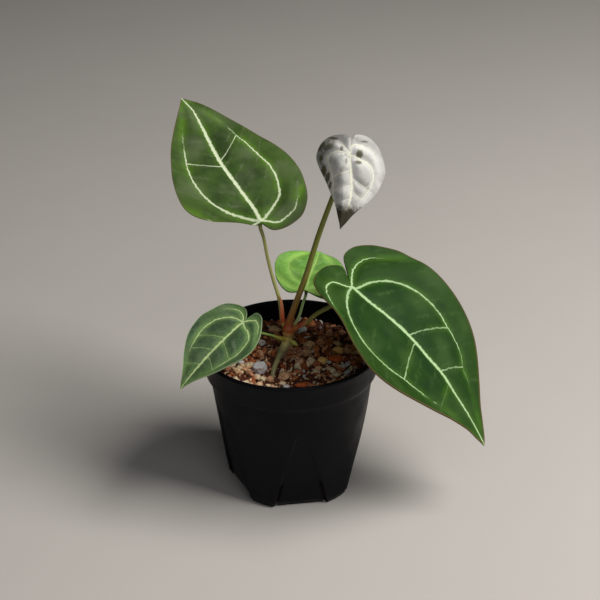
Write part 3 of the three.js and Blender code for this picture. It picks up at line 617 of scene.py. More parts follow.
def smooth_point(points, share, tension=None):
    """A point on a smooth line through the points, centripetal unless a tension is given."""
    last = len(points) - 1
    place = share * last
    index = min(int(place), last - 1)
    weight = place - index
    start = points[index]
    end = points[index + 1]
    before = points[index - 1] if index > 0 else 2 * start - end
    after = points[index + 2] if index + 2 <= last else 2 * end - start
    if tension is None:
        steps = ((before, start), (start, end), (end, after))
        gaps = [max(float(np.linalg.norm(b - a)) ** 0.5, 1e-4) for a, b in steps]
        first, middle, third = gaps
        leave = (start - before) / first - (end - before) / (first + middle) + (end - start) / middle
        arrive = (end - start) / middle - (after - start) / (middle + third) + (after - end) / third
        leave = leave * middle
        arrive = arrive * middle
    else:
        leave = tension * (end - before)
        arrive = tension * (after - start)
    cubic = 2 * start - 2 * end + leave + arrive
    square = 3 * end - 3 * start - 2 * leave - arrive
    return start + weight * (leave + weight * (square + weight * cubic))


def smooth_run(points, count, tension=None, even=False):
    """Count points along the smooth line, at even parameters or at even lengths."""
    points = [np.array(point, dtype=float) for point in points]
    if not even:
        return np.array([smooth_point(points, share, tension) for share in np.linspace(0, 1, count)])
    fine = np.array([smooth_point(points, share, tension) for share in np.linspace(0, 1, 600)])
    steps = np.linalg.norm(np.diff(fine, axis=0), axis=1)
    reached = np.concatenate([[0], np.cumsum(steps)])
    wanted = np.linspace(0, reached[-1], count)
    return np.stack([np.interp(wanted, reached, fine[:, axis]) for axis in range(fine.shape[1])], axis=1)


class Finish:
    """A procedural material in the making."""

    def __init__(self, name, roughness, **inputs):
        self.material = bpy.data.materials.new(name)
        self.material.use_nodes = True
        self.tree = self.material.node_tree
        self.shader = self.tree.nodes["Principled BSDF"]
        self.shader.inputs["Roughness"].default_value = roughness
        for key, value in inputs.items():
            self.shader.inputs[key.replace("_", " ")].default_value = value

    def add(self, kind, **settings):
        node = self.tree.nodes.new(kind)
        for key, value in settings.items():
            setattr(node, key, value)
        return node

    def feed(self, socket, value):
        if isinstance(value, bpy.types.NodeSocket):
            self.tree.links.new(value, socket)
        else:
            socket.default_value = value

    def calc(self, operation, *values):
        node = self.add("ShaderNodeMath", operation=operation)
        for socket, value in zip(node.inputs, values):
            self.feed(socket, value)
        return node.outputs[0]

    def product(self, first, *others):
        for other in others:
            first = self.calc("MULTIPLY", first, other)
        return first

    def span(self, value, low, high, start=0.0, end=1.0, kind="SMOOTHSTEP"):
        """Runs from start to end as the value goes from low to high."""
        node = self.add("ShaderNodeMapRange", interpolation_type=kind)
        for socket, given in zip(node.inputs, (value, low, high, start, end)):
            self.feed(socket, given)
        return node.outputs[0]

    def blend(self, share, below, above):
        node = self.add("ShaderNodeMix", data_type="RGBA")
        self.feed(node.inputs[0], share)
        self.feed(node.inputs[6], below)
        self.feed(node.inputs[7], above)
        return node.outputs[2]

    def ramp(self, value, *stops):
        node = self.add("ShaderNodeValToRGB")
        self.feed(node.inputs[0], value)
        points = node.color_ramp.elements
        while len(points) < len(stops):
            points.new(1.0)
        for point, (place, colour) in zip(points, stops):
            point.position = place
            point.color = srgb(*colour)
        return node.outputs[0]

    def coordinates(self, kind="Object"):
        return self.add("ShaderNodeTexCoord").outputs[kind]

    def attribute(self, name):
        return self.add("ShaderNodeAttribute", attribute_name=name).outputs["Fac"]

    def clouds(self, vector, scale, detail=2.0, roughness=0.5):
        node = self.add("ShaderNodeTexNoise")
        self.feed(node.inputs["Vector"], vector)
        node.inputs["Scale"].default_value = scale
        node.inputs["Detail"].default_value = detail
        node.inputs["Roughness"].default_value = roughness
        return node.outputs[0]

    def cells(self, vector, scale, feature="DISTANCE_TO_EDGE"):
        node = self.add("ShaderNodeTexVoronoi", feature=feature)
        self.feed(node.inputs["Vector"], vector)
        node.inputs["Scale"].default_value = scale
        return node.outputs["Distance"]

    def colour(self, value):
        self.feed(self.shader.inputs["Base Color"], value)

    def rough(self, value):
        self.feed(self.shader.inputs["Roughness"], value)

    def relief(self, height, strength, depth):
        node = self.add("ShaderNodeBump")
        node.inputs["Strength"].default_value = strength
        node.inputs["Distance"].default_value = depth
        self.feed(node.inputs["Height"], height)
        self.tree.links.new(node.outputs[0], self.shader.inputs["Normal"])


def pot_finish(settings):
    """Black moulded plastic with a faint grain, dust low down and on the rim, and fine scuffs."""
    finish = Finish("black_pot_plastic", 0.46, Specular_IOR_Level=0.1)
    place = finish.coordinates()
    grain = finish.clouds(place, 900, 3)
    patches = finish.clouds(place, 60, 4, 0.6)
    height = finish.add("ShaderNodeSeparateXYZ")
    finish.feed(height.inputs[0], place)
    low = finish.span(height.outputs[2], 0.0, 0.01, 0.08, 0.0)
    stretched = finish.add("ShaderNodeMapping")
    stretched.inputs["Scale"].default_value = (1.0, 1.0, 6.0)
    finish.feed(stretched.inputs[0], place)
    scuffs = finish.span(finish.clouds(stretched.outputs[0], 160, 5, 0.7), 0.62, 0.74, 0.0, 0.07)
    dust = finish.calc("MULTIPLY", finish.span(patches, 0.45, 0.8), 0.03)
    foot_dust = finish.product(low, patches)
    share = finish.calc("MAXIMUM", finish.calc("MAXIMUM", dust, scuffs), foot_dust)
    black = (*settings.colour, 1.0)
    finish.colour(finish.blend(share, black, srgb(62, 60, 55)))
    finish.rough(finish.span(patches, 0.3, 0.7, 0.36, 0.54))
    finish.relief(grain, 0.06, 0.0001)
    return finish.material


def bark_finish(name, stops, wet=0.0):
    """Chips and crumbs: each takes its colour from its own tint, broken up by fine grain."""
    finish = Finish(name, 0.85, Specular_IOR_Level=0.35)
    place = finish.coordinates()
    tint = finish.attribute("tint")
    grain = finish.clouds(place, 700, 4, 0.65)
    flecks = finish.clouds(place, 1900, 3, 0.6)
    shade = finish.calc("MULTIPLY_ADD", grain, 0.16, -0.08)
    shade = finish.product(shade, finish.span(tint, 0.0, 0.1))
    base = finish.ramp(finish.calc("ADD", tint, shade), *stops)
    dark = finish.blend(finish.span(grain, 0.36, 0.56, 0.4, 0.0), base, srgb(60, 32, 22))
    worn = finish.calc("MULTIPLY", finish.span(flecks, 0.62, 0.78, 0.0, 0.2), finish.span(tint, 0.05, 0.2))
    pale = finish.blend(worn, dark, srgb(226, 190, 156))
    finish.colour(pale)
    finish.rough(finish.span(grain, 0.3, 0.7, 0.9 - wet, 0.7 - wet))
    finish.relief(finish.calc("ADD", grain, flecks), 0.8, 0.0008)
    return finish.material


def stone_finish(name, dark, light, pit_shade):
    """Pumice or fired clay: chalky, with small pits darkened as painted shade."""
    finish = Finish(name, 0.9, Specular_IOR_Level=0.3)
    place = finish.coordinates()
    clouds = finish.clouds(place, 420, 4, 0.6)
    pits = finish.cells(place, 1500, "F1")
    # The pits take the darker pit colour: painted shade inside them
    pit_shade_share = finish.span(pits, 0.12, 0.34, 0.65, 0.0)
    base = finish.blend(clouds, srgb(*dark), srgb(*light))
    finish.colour(finish.blend(finish.calc("MULTIPLY", pit_shade_share, clouds), base, srgb(*pit_shade)))
    finish.relief(finish.calc("ADD", clouds, finish.span(pits, 0.1, 0.4)), 0.6, 0.0004)
    return finish.material


def stalk_finish(name, stops, streak):
    """A living stalk: colour changes along it, with faint lengthwise streaks and small pale specks."""
    finish = Finish(name, 0.42, Specular_IOR_Level=0.5, Subsurface_Weight=0.0)
    place = finish.coordinates()
    run = finish.attribute("run")
    turn = finish.attribute("turn")
    wander = finish.calc("MULTIPLY_ADD", finish.clouds(place, 130, 2), 0.10, -0.05)
    base = finish.ramp(finish.calc("ADD", run, wander), *stops)
    wave = finish.calc("SINE", finish.calc("MULTIPLY_ADD", turn, 44.0, finish.calc("MULTIPLY", wander, 30.0)))
    streaks = finish.span(wave, 0.2, 1.0, 0.0, 0.35)
    marked = finish.blend(streaks, base, srgb(*streak))
    specks = finish.span(finish.clouds(place, 1700, 1), 0.66, 0.74, 0.0, 0.3)
    finish.colour(finish.blend(specks, marked, srgb(190, 184, 120)))
    finish.relief(wave, 0.08, 0.0002)
    return finish.material


def sheath_finish():
    """Thin papery sheath, red-brown with pale torn edges and lengthwise fibres."""
    finish = Finish("papery_sheath", 0.55, Specular_IOR_Level=0.4)
    place = finish.coordinates()
    run = finish.attribute("run")
    side = finish.attribute("turn")
    fibres = finish.calc("SINE", finish.calc("MULTIPLY_ADD", side, 60.0, finish.clouds(place, 200, 2)))
    base = finish.ramp(run, (0.0, (158, 62, 30)), (0.45, (196, 104, 66)), (1.0, (200, 138, 92)))
    lined = finish.blend(finish.span(fibres, 0.1, 1.0, 0.0, 0.4), base, srgb(130, 54, 28))
    pale = finish.span(finish.calc("ABSOLUTE", finish.calc("SUBTRACT", side, 0.5)), 0.4, 0.5, 0.0, 0.6)
    finish.colour(finish.blend(pale, lined, srgb(214, 176, 128)))
    finish.relief(fibres, 0.25, 0.0002)
    return finish.material


def leaf_veins(finish, blade, wobble, width):
    """The strength of a blade's veins, and how near its main ones are, from the marks on its mesh."""
    along = finish.attribute("along")
    out = finish.attribute("out")
    rib = finish.attribute("rib")
    loop = finish.attribute("loop")
    basal = finish.attribute("basal")
    length = blade["length"]
    scale = width * (0.6 + 0.4 * length / 95)

    def line(distance, half):
        off = finish.calc("ABSOLUTE", finish.calc("ADD", distance, wobble))
        return finish.span(finish.calc("DIVIDE", off, half), 0.5, 1.3, 1.0, 0.0)

    broken = finish.span(finish.clouds(finish.coordinates("UV"), UV_SPAN / 5, 3), 0.4, 0.6)
    half = finish.span(along, 0.6 * length, length, 1.0 * scale, 0.3 * scale, "LINEAR")
    midrib = finish.calc("MULTIPLY", line(rib, half), finish.span(along, -1.2, 0.4))
    half = finish.span(along, -2.0, 0.8 * length, 0.7 * scale, 0.24 * scale, "LINEAR")
    fade = finish.span(along, 0.55 * length, 0.82 * length, 1.0, 0.0)
    kept = finish.calc("MAXIMUM", finish.span(fade, 0.7, 1.0), finish.calc("MULTIPLY", broken, fade))
    primary = finish.calc("MULTIPLY", line(loop, half), finish.calc("MULTIPLY", kept, 0.86))
    half = finish.span(out, 0.0, 0.35 * length, 0.62 * scale, 0.2 * scale, "LINEAR")
    fade = finish.span(out, 0.2 * length, 0.31 * length, 1.0, 0.0)
    lobes = finish.calc("MULTIPLY", line(basal, half), fade)
    veins = finish.calc("MAXIMUM", midrib, finish.calc("MAXIMUM", primary, lobes))
    inside = finish.span(loop, -0.3, 0.3)
    rib_near = finish.calc("ABSOLUTE", rib)
    loop_near = finish.calc("ABSOLUTE", loop)
    for side, foot, strength in blade["crossings"]:
        here = finish.calc("MULTIPLY", finish.span(finish.calc("MULTIPLY", rib, side), 0.0, 0.6), strength)
        branch = line(finish.calc("SUBTRACT", finish.attribute("cross"), foot), 0.42 * scale)
        bold = finish.span(finish.calc("MINIMUM", rib_near, loop_near), 1.0, 6.0, 1.0, 0.6)
        shown = finish.product(branch, here, bold, inside)
        veins = finish.calc("MAXIMUM", veins, shown)
    near = finish.calc("MINIMUM", finish.calc("MINIMUM", rib_near, loop_near), finish.calc("ABSOLUTE", basal))
    return veins, near


def leaf_finish(name, blade, style, under=False):
    """One side of a blade: velvet cells between pale veins, grey patches (painted sheen on the green blades,
    real mottling on the young one), a faint net and a thin coloured margin.
    """
    finish = Finish(
        name,
        0.62,
        Specular_IOR_Level=0.1,
        Sheen_Weight=style["sheen"],
        Sheen_Roughness=0.45,
        Sheen_Tint=srgb(206, 224, 196),
    )
    flat = finish.coordinates("UV")
    wobble = finish.calc("MULTIPLY_ADD", finish.clouds(flat, UV_SPAN / 1.8, 4, 0.6), 1.8, -0.9)
    veins, near = leaf_veins(finish, blade, wobble, style["width"])
    mottle = finish.clouds(flat, UV_SPAN / 14, 3, 0.55)
    fine = finish.clouds(flat, UV_SPAN / 1.2, 3, 0.6)
    outside = finish.span(finish.attribute("loop"), -7.0, 3.0, 1.0, 0.0)
    cells = finish.blend(finish.span(mottle, 0.36, 0.66), srgb(*style["dark"]), srgb(*style["light"]))
    outside = finish.product(outside, finish.span(mottle, 0.2, 0.6))
    base = finish.blend(outside, cells, srgb(*style["outer"]))
    base = finish.blend(finish.span(fine, 0.35, 0.75, 0.0, 0.3), base, srgb(*style["dark"]))
    glow = finish.product(finish.span(near, 0.2, 4.5, 0.75, 0.0), finish.span(mottle, 0.35, 0.6, 0.35, 1.0))
    base = finish.blend(glow, base, srgb(*style["glow"]))
    deep = finish.product(finish.span(finish.attribute("cell"), 0.8, 3.2), finish.span(mottle, 0.3, 0.6))
    base = finish.blend(finish.calc("MULTIPLY", deep, style["depth"]), base, srgb(*style["deep"]))
    bent = finish.calc("MULTIPLY_ADD", wobble, 4.0, finish.attribute("cross"))
    # Grey stripes and patches: painted sheen on the green blades, real grey mottling on the young silver
    # blade
    mottle_and_sheen_stripe = finish.span(finish.calc("PINGPONG", bent, 4.6), 0.0, 1.3, 1.0, 0.0)
    mottle_and_sheen_patches = finish.span(finish.clouds(flat, UV_SPAN / 9, 2), 0.42, 0.66, 0.0, 0.65)
    base = finish.blend(finish.calc("MULTIPLY", mottle_and_sheen_stripe, mottle_and_sheen_patches), base, srgb(*style["mottle_and_painted_sheen"]))
    mottle_and_sheen_haze = finish.span(finish.clouds(flat, UV_SPAN / 22, 2), 0.46, 0.68, 0.0, 0.5)
    base = finish.blend(mottle_and_sheen_haze, base, srgb(*style["mottle_and_painted_sheen"]))
    net = finish.span(finish.cells(flat, UV_SPAN / style["net_size"]), 0.02, 0.16, style["net"], 0.0)
    base = finish.blend(net, base, srgb(*style["vein"]))
    if "marks" in blade:
        base = blade_marks(finish, blade, base, flat, fine)
    reach = finish.attribute("reach")
    base = finish.blend(finish.span(reach, 0.982, 0.996, 0.0, 0.7), base, srgb(*style["edge"]))
    shown = finish.calc("MULTIPLY", veins, 0.55 if under else 0.94)
    base = finish.blend(shown, base, srgb(*style["vein"]))
    if "marks" in blade:
        tip = finish.calc("MULTIPLY_ADD", fine, 5.0, finish.attribute("along"))
        base = finish.blend(finish.span(tip, 23.0, 29.0, 0.0, 0.97), base, srgb(42, 35, 20))
    finish.colour(base)
    finish.relief(finish.calc("MULTIPLY_ADD", fine, 0.25, finish.calc("MULTIPLY", veins, 0.5)), 0.35, 0.0005)
    return finish.material


def blade_marks(finish, blade, base, flat, fine):
    """Dark olive patches by place on the blade, and a streaky band outside the left looping vein."""
    place = finish.add("ShaderNodeVectorMath", operation="SCALE")
    finish.feed(place.inputs[0], flat)
    place.inputs["Scale"].default_value = UV_SPAN
    for x, y, long, wide, strength in blade["marks"]:
        moved = finish.add("ShaderNodeVectorMath", operation="SUBTRACT")
        finish.feed(moved.inputs[0], place.outputs[0])
        moved.inputs[1].default_value = (x + UV_SPAN / 2, y + UV_SPAN / 2, 0)
        shaped = finish.add("ShaderNodeVectorMath", operation="DIVIDE")
        finish.feed(shaped.inputs[0], moved.outputs[0])
        shaped.inputs[1].default_value = (long, wide, 1)
        away = finish.add("ShaderNodeVectorMath", operation="LENGTH")
        finish.feed(away.inputs[0], shaped.outputs[0])
        rough = finish.calc("MULTIPLY_ADD", fine, 0.8, away.outputs["Value"])
        base = finish.blend(finish.span(rough, 0.9, 1.5, strength, 0.0), base, srgb(78, 75, 50))
    streaky = finish.span(finish.clouds(flat, UV_SPAN / 5, 4, 0.65), 0.38, 0.54)
    left = finish.calc("MULTIPLY", finish.span(finish.attribute("rib"), -8.5, -6.0, 1.0, 0.0), streaky)
    outside = finish.span(finish.attribute("loop"), -3.0, -0.8, 1.0, 0.0)
    rim = finish.span(finish.attribute("reach"), 0.9, 0.97, 0.85, 0.0)
    band = finish.product(left, outside, rim)
    base = finish.blend(band, base, srgb(84, 82, 58))
    return base


def flat_half(z):
    return max(FLAT["foot_half"] * (1 - z / FLAT["apex"]), FLAT["tip_half"])


def cone_radius(z, settings):
    foot = settings.foot_radius / MM
    shoulder = settings.shoulder_radius / MM
    return foot + (shoulder - foot) * z / BODY_TOP


def flat_distance(z, settings):
    top = cone_radius(FLAT["apex"], settings)
    return FLAT["foot_distance"] + (top - FLAT["foot_distance"]) * z / FLAT["apex"]


def turned(profile, columns):
    """A closed turned body: a circle extruded and resized from each line of the profile to the next."""
    deselect()
    radius, z = profile[0]
    bpy.ops.mesh.primitive_circle_add(
        vertices=columns, radius=radius * MM, fill_type="NGON", location=(0, 0, z * MM)
    )
    piece = bpy.context.object
    bpy.ops.object.mode_set(mode="EDIT")
    bpy.ops.mesh.select_all(action="SELECT")
    bpy.ops.mesh.select_mode(type="EDGE")
    bpy.ops.mesh.region_to_loop()
    for next_radius, next_z in profile[1:]:
        bpy.ops.mesh.extrude_edges_move(TRANSFORM_OT_translate={"value": (0, 0, (next_z - z) * MM)})
        share = next_radius / radius
        bpy.ops.transform.resize(value=(share, share, 1), center_override=(0, 0, next_z * MM))
        radius, z = next_radius, next_z
    bpy.ops.mesh.edge_face_add()
    bpy.ops.object.mode_set(mode="OBJECT")
    bpy.ops.object.transform_apply(location=True, rotation=True, scale=True)
    return piece


def press_flats(piece, settings, front_degrees):
    """Moves each column of a turned body to its direction and presses the flats in."""
    columns = FLAT_COLUMNS + ROUND_COLUMNS
    total = settings.flats * columns
    period = 360 / settings.flats
    for corner in piece.data.vertices:
        x, y, height = corner.co / MM
        radius = math.hypot(x, y)
        index = round(math.degrees(math.atan2(y, x)) / 360 * total) % total
        flat, column = divmod(index, columns)
        z = min(height, BODY_TOP)
        half = flat_half(z)
        middle = front_degrees + flat * period
        if column < FLAT_COLUMNS:
            off = half * (2 * column / (FLAT_COLUMNS - 1) - 1)
            if height < FLAT["apex"]:
                inset = cone_radius(z, settings) - radius
                radius = (flat_distance(z, settings) - inset) / math.cos(math.radians(off))
        else:
            start = half + FLAT["step"]
            off = start + (period - 2 * start) * (column - FLAT_COLUMNS) / (ROUND_COLUMNS - 1)
        angle = math.radians(middle + off)
        corner.co.x = radius * math.cos(angle) * MM
        corner.co.y = radius * math.sin(angle) * MM
    piece.data.update()


def crease(piece, settings):
    """Keeps the two edges of each flat sharp on a smooth-shaded pot."""
    period = 360 / settings.flats
    on_edge = []
    for corner in piece.data.vertices:
        x, y, z = corner.co / MM
        turn = math.degrees(math.atan2(y, x)) - settings.front_degrees
        off = abs((turn + period / 2) % period - period / 2)
        outside = math.hypot(x, y) > flat_distance(min(z, FLAT["apex"]), settings) - 0.3
        on_edge.append(outside and z < FLAT["apex"] and abs(off - flat_half(z)) < 0.25)
    for edge in piece.data.edges:
        if on_edge[edge.vertices[0]] and on_edge[edge.vertices[1]]:
            edge.use_edge_sharp = True


def slit_cutters(settings):
    """Thin blocks that cut a drain slit up the wall and into the floor at each foot corner of a flat."""
    cutters = []
    period = 360 / settings.flats
    for index in range(settings.flats):
        for side in (-1, 1):
            ends = []
            for z in (0.0, SLIT["height"]):
                angle = math.radians(settings.front_degrees + index * period + side * flat_half(z))
                radius = cone_radius(z, settings)
                ends.append(Vector((radius * math.cos(angle), radius * math.sin(angle), z)) * MM)
            foot, head = ends
            rise = (head - foot).normalized()
            outward = Vector((foot.x, foot.y, 0)).normalized()
            tangent = rise.cross(outward).normalized()
            radial = tangent.cross(rise)
            turn = Matrix((radial, tangent, rise)).transposed().to_4x4()
            size = (SLIT["depth"], SLIT["width"], 2 * SLIT["height"])
            cutters.append(block(size, Matrix.Translation(foot) @ turn))
            inner = foot - outward * SLIT["floor_reach"] / 2 * MM
            level = Matrix.Translation(inner) @ Matrix.Rotation(math.atan2(foot.y, foot.x), 4, "Z")
            cutters.append(block((SLIT["floor_reach"], SLIT["width"], SLIT["floor_height"]), level))
    return joined(cutters)


def block(size, place):
    deselect()
    bpy.ops.mesh.primitive_cube_add(size=1)
    piece = bpy.context.object
    piece.matrix_world = place @ Matrix.Diagonal((*[part * MM for part in size], 1))
    bpy.ops.object.transform_apply(location=True, rotation=True, scale=True)
    return piece


def mix_height(x, y):
    """Height of the mix in millimetres at a place in plan, as in the frame."""
    share = math.hypot(x, y) / MIX_CROWN_RADIUS
    return MIX_EDGE + MIX_RISE * (1 - share * share)


def rock(detail, seed, planes, lump):
    """A ball of a given detail, lumped by noise and chopped by seeded planes, one unit in radius."""
    deselect()
    bpy.ops.mesh.primitive_ico_sphere_add(subdivisions=detail, radius=1)
    piece = bpy.context.object
    draw = random.Random(seed)
    cuts = []
    for _ in range(planes):
        normal = Vector((draw.uniform(-1, 1), draw.uniform(-1, 1), draw.uniform(-1, 1))).normalized()
        cuts.append((normal, draw.uniform(0.62, 0.88)))
    shift = Vector((seed * 3.1, seed * 1.7, seed * 0.9))
    for corner in piece.data.vertices:
        point = corner.co.copy()
        point *= 1 + lump * noise.fractal(point * 1.6 + shift, 1.0, 2.0, 4)
        for normal, limit in cuts:
            over = point.dot(normal) - limit
            if over > 0:
                point -= normal * over * 0.92
        corner.co = point
    piece.data.update()
    return piece


def scatter(shapes, places):
    """Copies of the shapes, one at each (matrix, tint), joined in one piece."""
    copies = []
    for index, (place, tint) in enumerate(places):
        source = shapes[index % len(shapes)]
        copy = bpy.data.objects.new(source.name, source.data.copy())
        bpy.context.collection.objects.link(copy)
        copy.data.transform(place)
        mark(copy, "tint", np.full(len(copy.data.vertices), tint))
        copies.append(copy)
    piece = joined(copies)
    deselect()
    for source in shapes:
        source.select_set(True)
    bpy.ops.object.delete()
    return piece


def chip_places(draw, count, sizes, flatness, lift, keep_off):
    """Seeded places for chips on the mix, larger ones first: pale at the front, darker at the back, where
    painted shade joins the darker bark.
    """
    small, large = sizes
    places = []
    for index in range(count):
        size = small + (large - small) * (1 - index / count) ** 1.5
        radius = (MIX_RADIUS - size * 0.8) * math.sqrt(draw.random())
        angle = draw.uniform(0, 2 * math.pi)
        x = radius * math.cos(angle)
        y = radius * math.sin(angle)
        turn = Euler((draw.uniform(-0.6, 0.6), draw.uniform(-0.6, 0.6), draw.uniform(0, 6.3)))
        stretch = (size, size * draw.uniform(0.5, 0.85), size * draw.uniform(*flatness))
        up = lift * stretch[2] + draw.uniform(-0.3, 0.5)
        # Chips grow darker towards the back: partly darker bark, partly painted shade
        tint = 0.12 + 0.88 * min(1.0, max(0.0, draw.random() - 0.012 * y))
        if any(math.hypot(x - spot[0], y - spot[1]) < spot[2] + 0.5 * size for spot in keep_off):
            continue
        place = Vector((x, y, mix_height(x, y) + up)) * MM
        places.append((chip_matrix(place, turn, stretch), tint))
    return places


def spots_to_clear():
    """Round spots in plan that stay free of chips: the loose chunks, the stem and the root."""
    spots = [STEM_SPOT]
    spots += [(x, y, 1.6) for x, y, _, _ in ROOT[1:]]
    for entry in frame["record"]["subparts"]:
        if entry["material_slot"] in ("pumice", "clay", "bark_orange", "bark_pale"):
            low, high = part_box(entry["node"])
            middle = (low + high) / 2 / MM
            spots.append((middle.x, middle.y, 0.36 * (high - low).xy.length / MM))
    return spots


def chip_matrix(place, turn, stretch):
    scale = Matrix.Diagonal((*[part * MM for part in stretch], 1))
    return Matrix.Translation(place) @ turn.to_matrix().to_4x4() @ scale


def tube(spine, sides=STALK_SIDES, rows=STALK_ROWS, extend=0.0, swell=None):
    """A closed round stalk along a smooth line through its points, marked with its run and turn."""
    centres = [np.array(point[:3], dtype=float) for point in spine]
    radii = np.array([point[3] for point in spine], dtype=float)
    cap = 3 / rows

    def place(across, up):
        share = np.clip((up - cap) / (1 - 2 * cap), 0, 1)
        corners = np.zeros((len(up), 3))
        lines = {}
        for index, (turn, run, raw) in enumerate(zip(across, share, up)):
            if raw not in lines:
                lines[raw] = station(run, raw)
            centre, front, side, radius = lines[raw]
            angle = 2 * math.pi * turn
            point = centre + radius * (math.cos(angle) * front + math.sin(angle) * side)
            corners[index] = point
        return corners * MM

    def station(run, raw):
        centre = smooth_point(centres, run)
        step = 0.0005
        ahead = smooth_point(centres, min(run + step, 1.0))
        behind = smooth_point(centres, max(run - step, 0.0))
        tangent = Vector(ahead - behind).normalized()
        front = (STALK_FRONT - tangent * STALK_FRONT.dot(tangent)).normalized()
        side = tangent.cross(front)
        radius = float(np.interp(run * (len(radii) - 1), range(len(radii)), radii))
        if swell:
            radius *= swell(run)
        if raw < cap or raw > 1 - cap:
            beyond = (cap - raw) / cap if raw < cap else (raw - 1 + cap) / cap
            outward = -1 if raw < cap else 1
            centre = centre + outward * np.array(tangent) * (0.5 * radius * beyond + extend * beyond)
            radius *= math.sqrt(max(0.0, 1 - beyond * beyond))
        return centre, np.array(front), np.array(side), radius

    piece, across, up = grid(sides, rows, place)
    mark(piece, "run", np.clip((up - cap) / (1 - 2 * cap), 0, 1))
    mark(piece, "turn", across)
    merge(piece)
    face_out(piece)
    smooth(piece, 60)
    return piece


def along_line(points, count=160):
    return smooth_run(points, count, 0.5)


def distance_to_line(line, x, y):
    """Shortest distance from each place to a line of many points."""
    nearest = np.full(len(x), np.inf)
    for start, end in zip(line[:-1], line[1:]):
        step = end - start
        size = float(step @ step)
        if size == 0:
            continue
        share = np.clip(((x - start[0]) * step[0] + (y - start[1]) * step[1]) / size, 0, 1)
        away = np.hypot(x - start[0] - share * step[0], y - start[1] - share * step[1])
        nearest = np.minimum(nearest, away)
    return nearest


def is_inside(ring, x, y):
    """Whether each place lies inside a closed ring of points."""
    inside = np.zeros(len(x), dtype=bool)
    for start, end in zip(ring, np.roll(ring, -1, axis=0)):
        if start[1] == end[1]:
            continue
        between = (start[1] > y) != (end[1] > y)
        at = start[0] + (y - start[1]) * (end[0] - start[0]) / (end[1] - start[1])
        inside ^= between & (x < at)
    return inside


def signed_distance(ring, x, y):
    """Distance to a closed ring, positive inside."""
    closed = np.vstack([ring, ring[:1]])
    distance = distance_to_line(closed, x, y)
    return np.where(is_inside(ring, x, y), distance, -distance)


def blade_marks_on_mesh(blade, x, y):
    """The marks that a blade's materials read, by name, for places in its flat plane."""
    midrib = along_line(blade["midrib"])
    rib = y - np.interp(x, midrib[:, 0], midrib[:, 1])
    left = along_line(blade["primary_left"])
    right = along_line(blade["primary_right"])
    tip = np.array([[blade["length"] + 4, 0]])
    loop = signed_distance(np.vstack([left, tip, right[::-1]]), x, y)
    far = 3 * blade["length"]
    lobe_left = along_line(blade["basal_left"], 60)
    lobe_right = along_line(blade["basal_right"], 60)
    ahead = np.array([[far, lobe_left[-1][1] + far], [far, lobe_right[-1][1] - far]])
    basal = signed_distance(np.vstack([lobe_left, ahead, lobe_right[::-1]]), x, y)
    bend = np.where(rib > 0, blade["lean"][1][0], blade["lean"][-1][0])
    curl = np.where(rib > 0, blade["lean"][1][1], blade["lean"][-1][1])
    cross = x - bend * np.abs(rib) - curl * rib * rib
    side = np.full(len(x), 99.0)
    for hand, foot, _ in blade["crossings"]:
        side = np.where((rib * hand > 0) & (loop > 0), np.minimum(side, np.abs(cross - foot)), side)
    cell = np.minimum(np.minimum(np.abs(loop), np.abs(basal)), np.where(x > 0, np.abs(rib), np.hypot(x, y)))
    marks = {"rib": rib, "loop": loop, "basal": basal, "cross": cross, "along": x, "out": np.hypot(x, y)}
    marks["cell"] = np.minimum(cell, side)
    return marks


def blade_height(blade, x, y, rise, share, marks):
    """Height over the flat plane: arch, cup, swelling between the veins, cells, and the margin."""
    main = np.minimum(np.abs(marks["loop"]), np.abs(marks["basal"]))
    main = np.minimum(main, np.where(x > 0, np.abs(marks["rib"]), np.hypot(x, y)))
    swell = blade["bulge"] * (1 - np.exp(-((main / VALLEY) ** 2)))
    cells = blade["quilt"] * (1 - np.exp(-((marks["cell"] / CELL_VALLEY) ** 2)))
    margin = np.maximum(0, (share - MARGIN_START) / (1 - MARGIN_START))
    arch = -blade["droop"] * (np.maximum(x, 0) / blade["length"]) ** 2
    cup = blade["cup"] * (y / blade["half_width"]) ** 2
    return arch + cup + rise * margin**2 + swell + cells


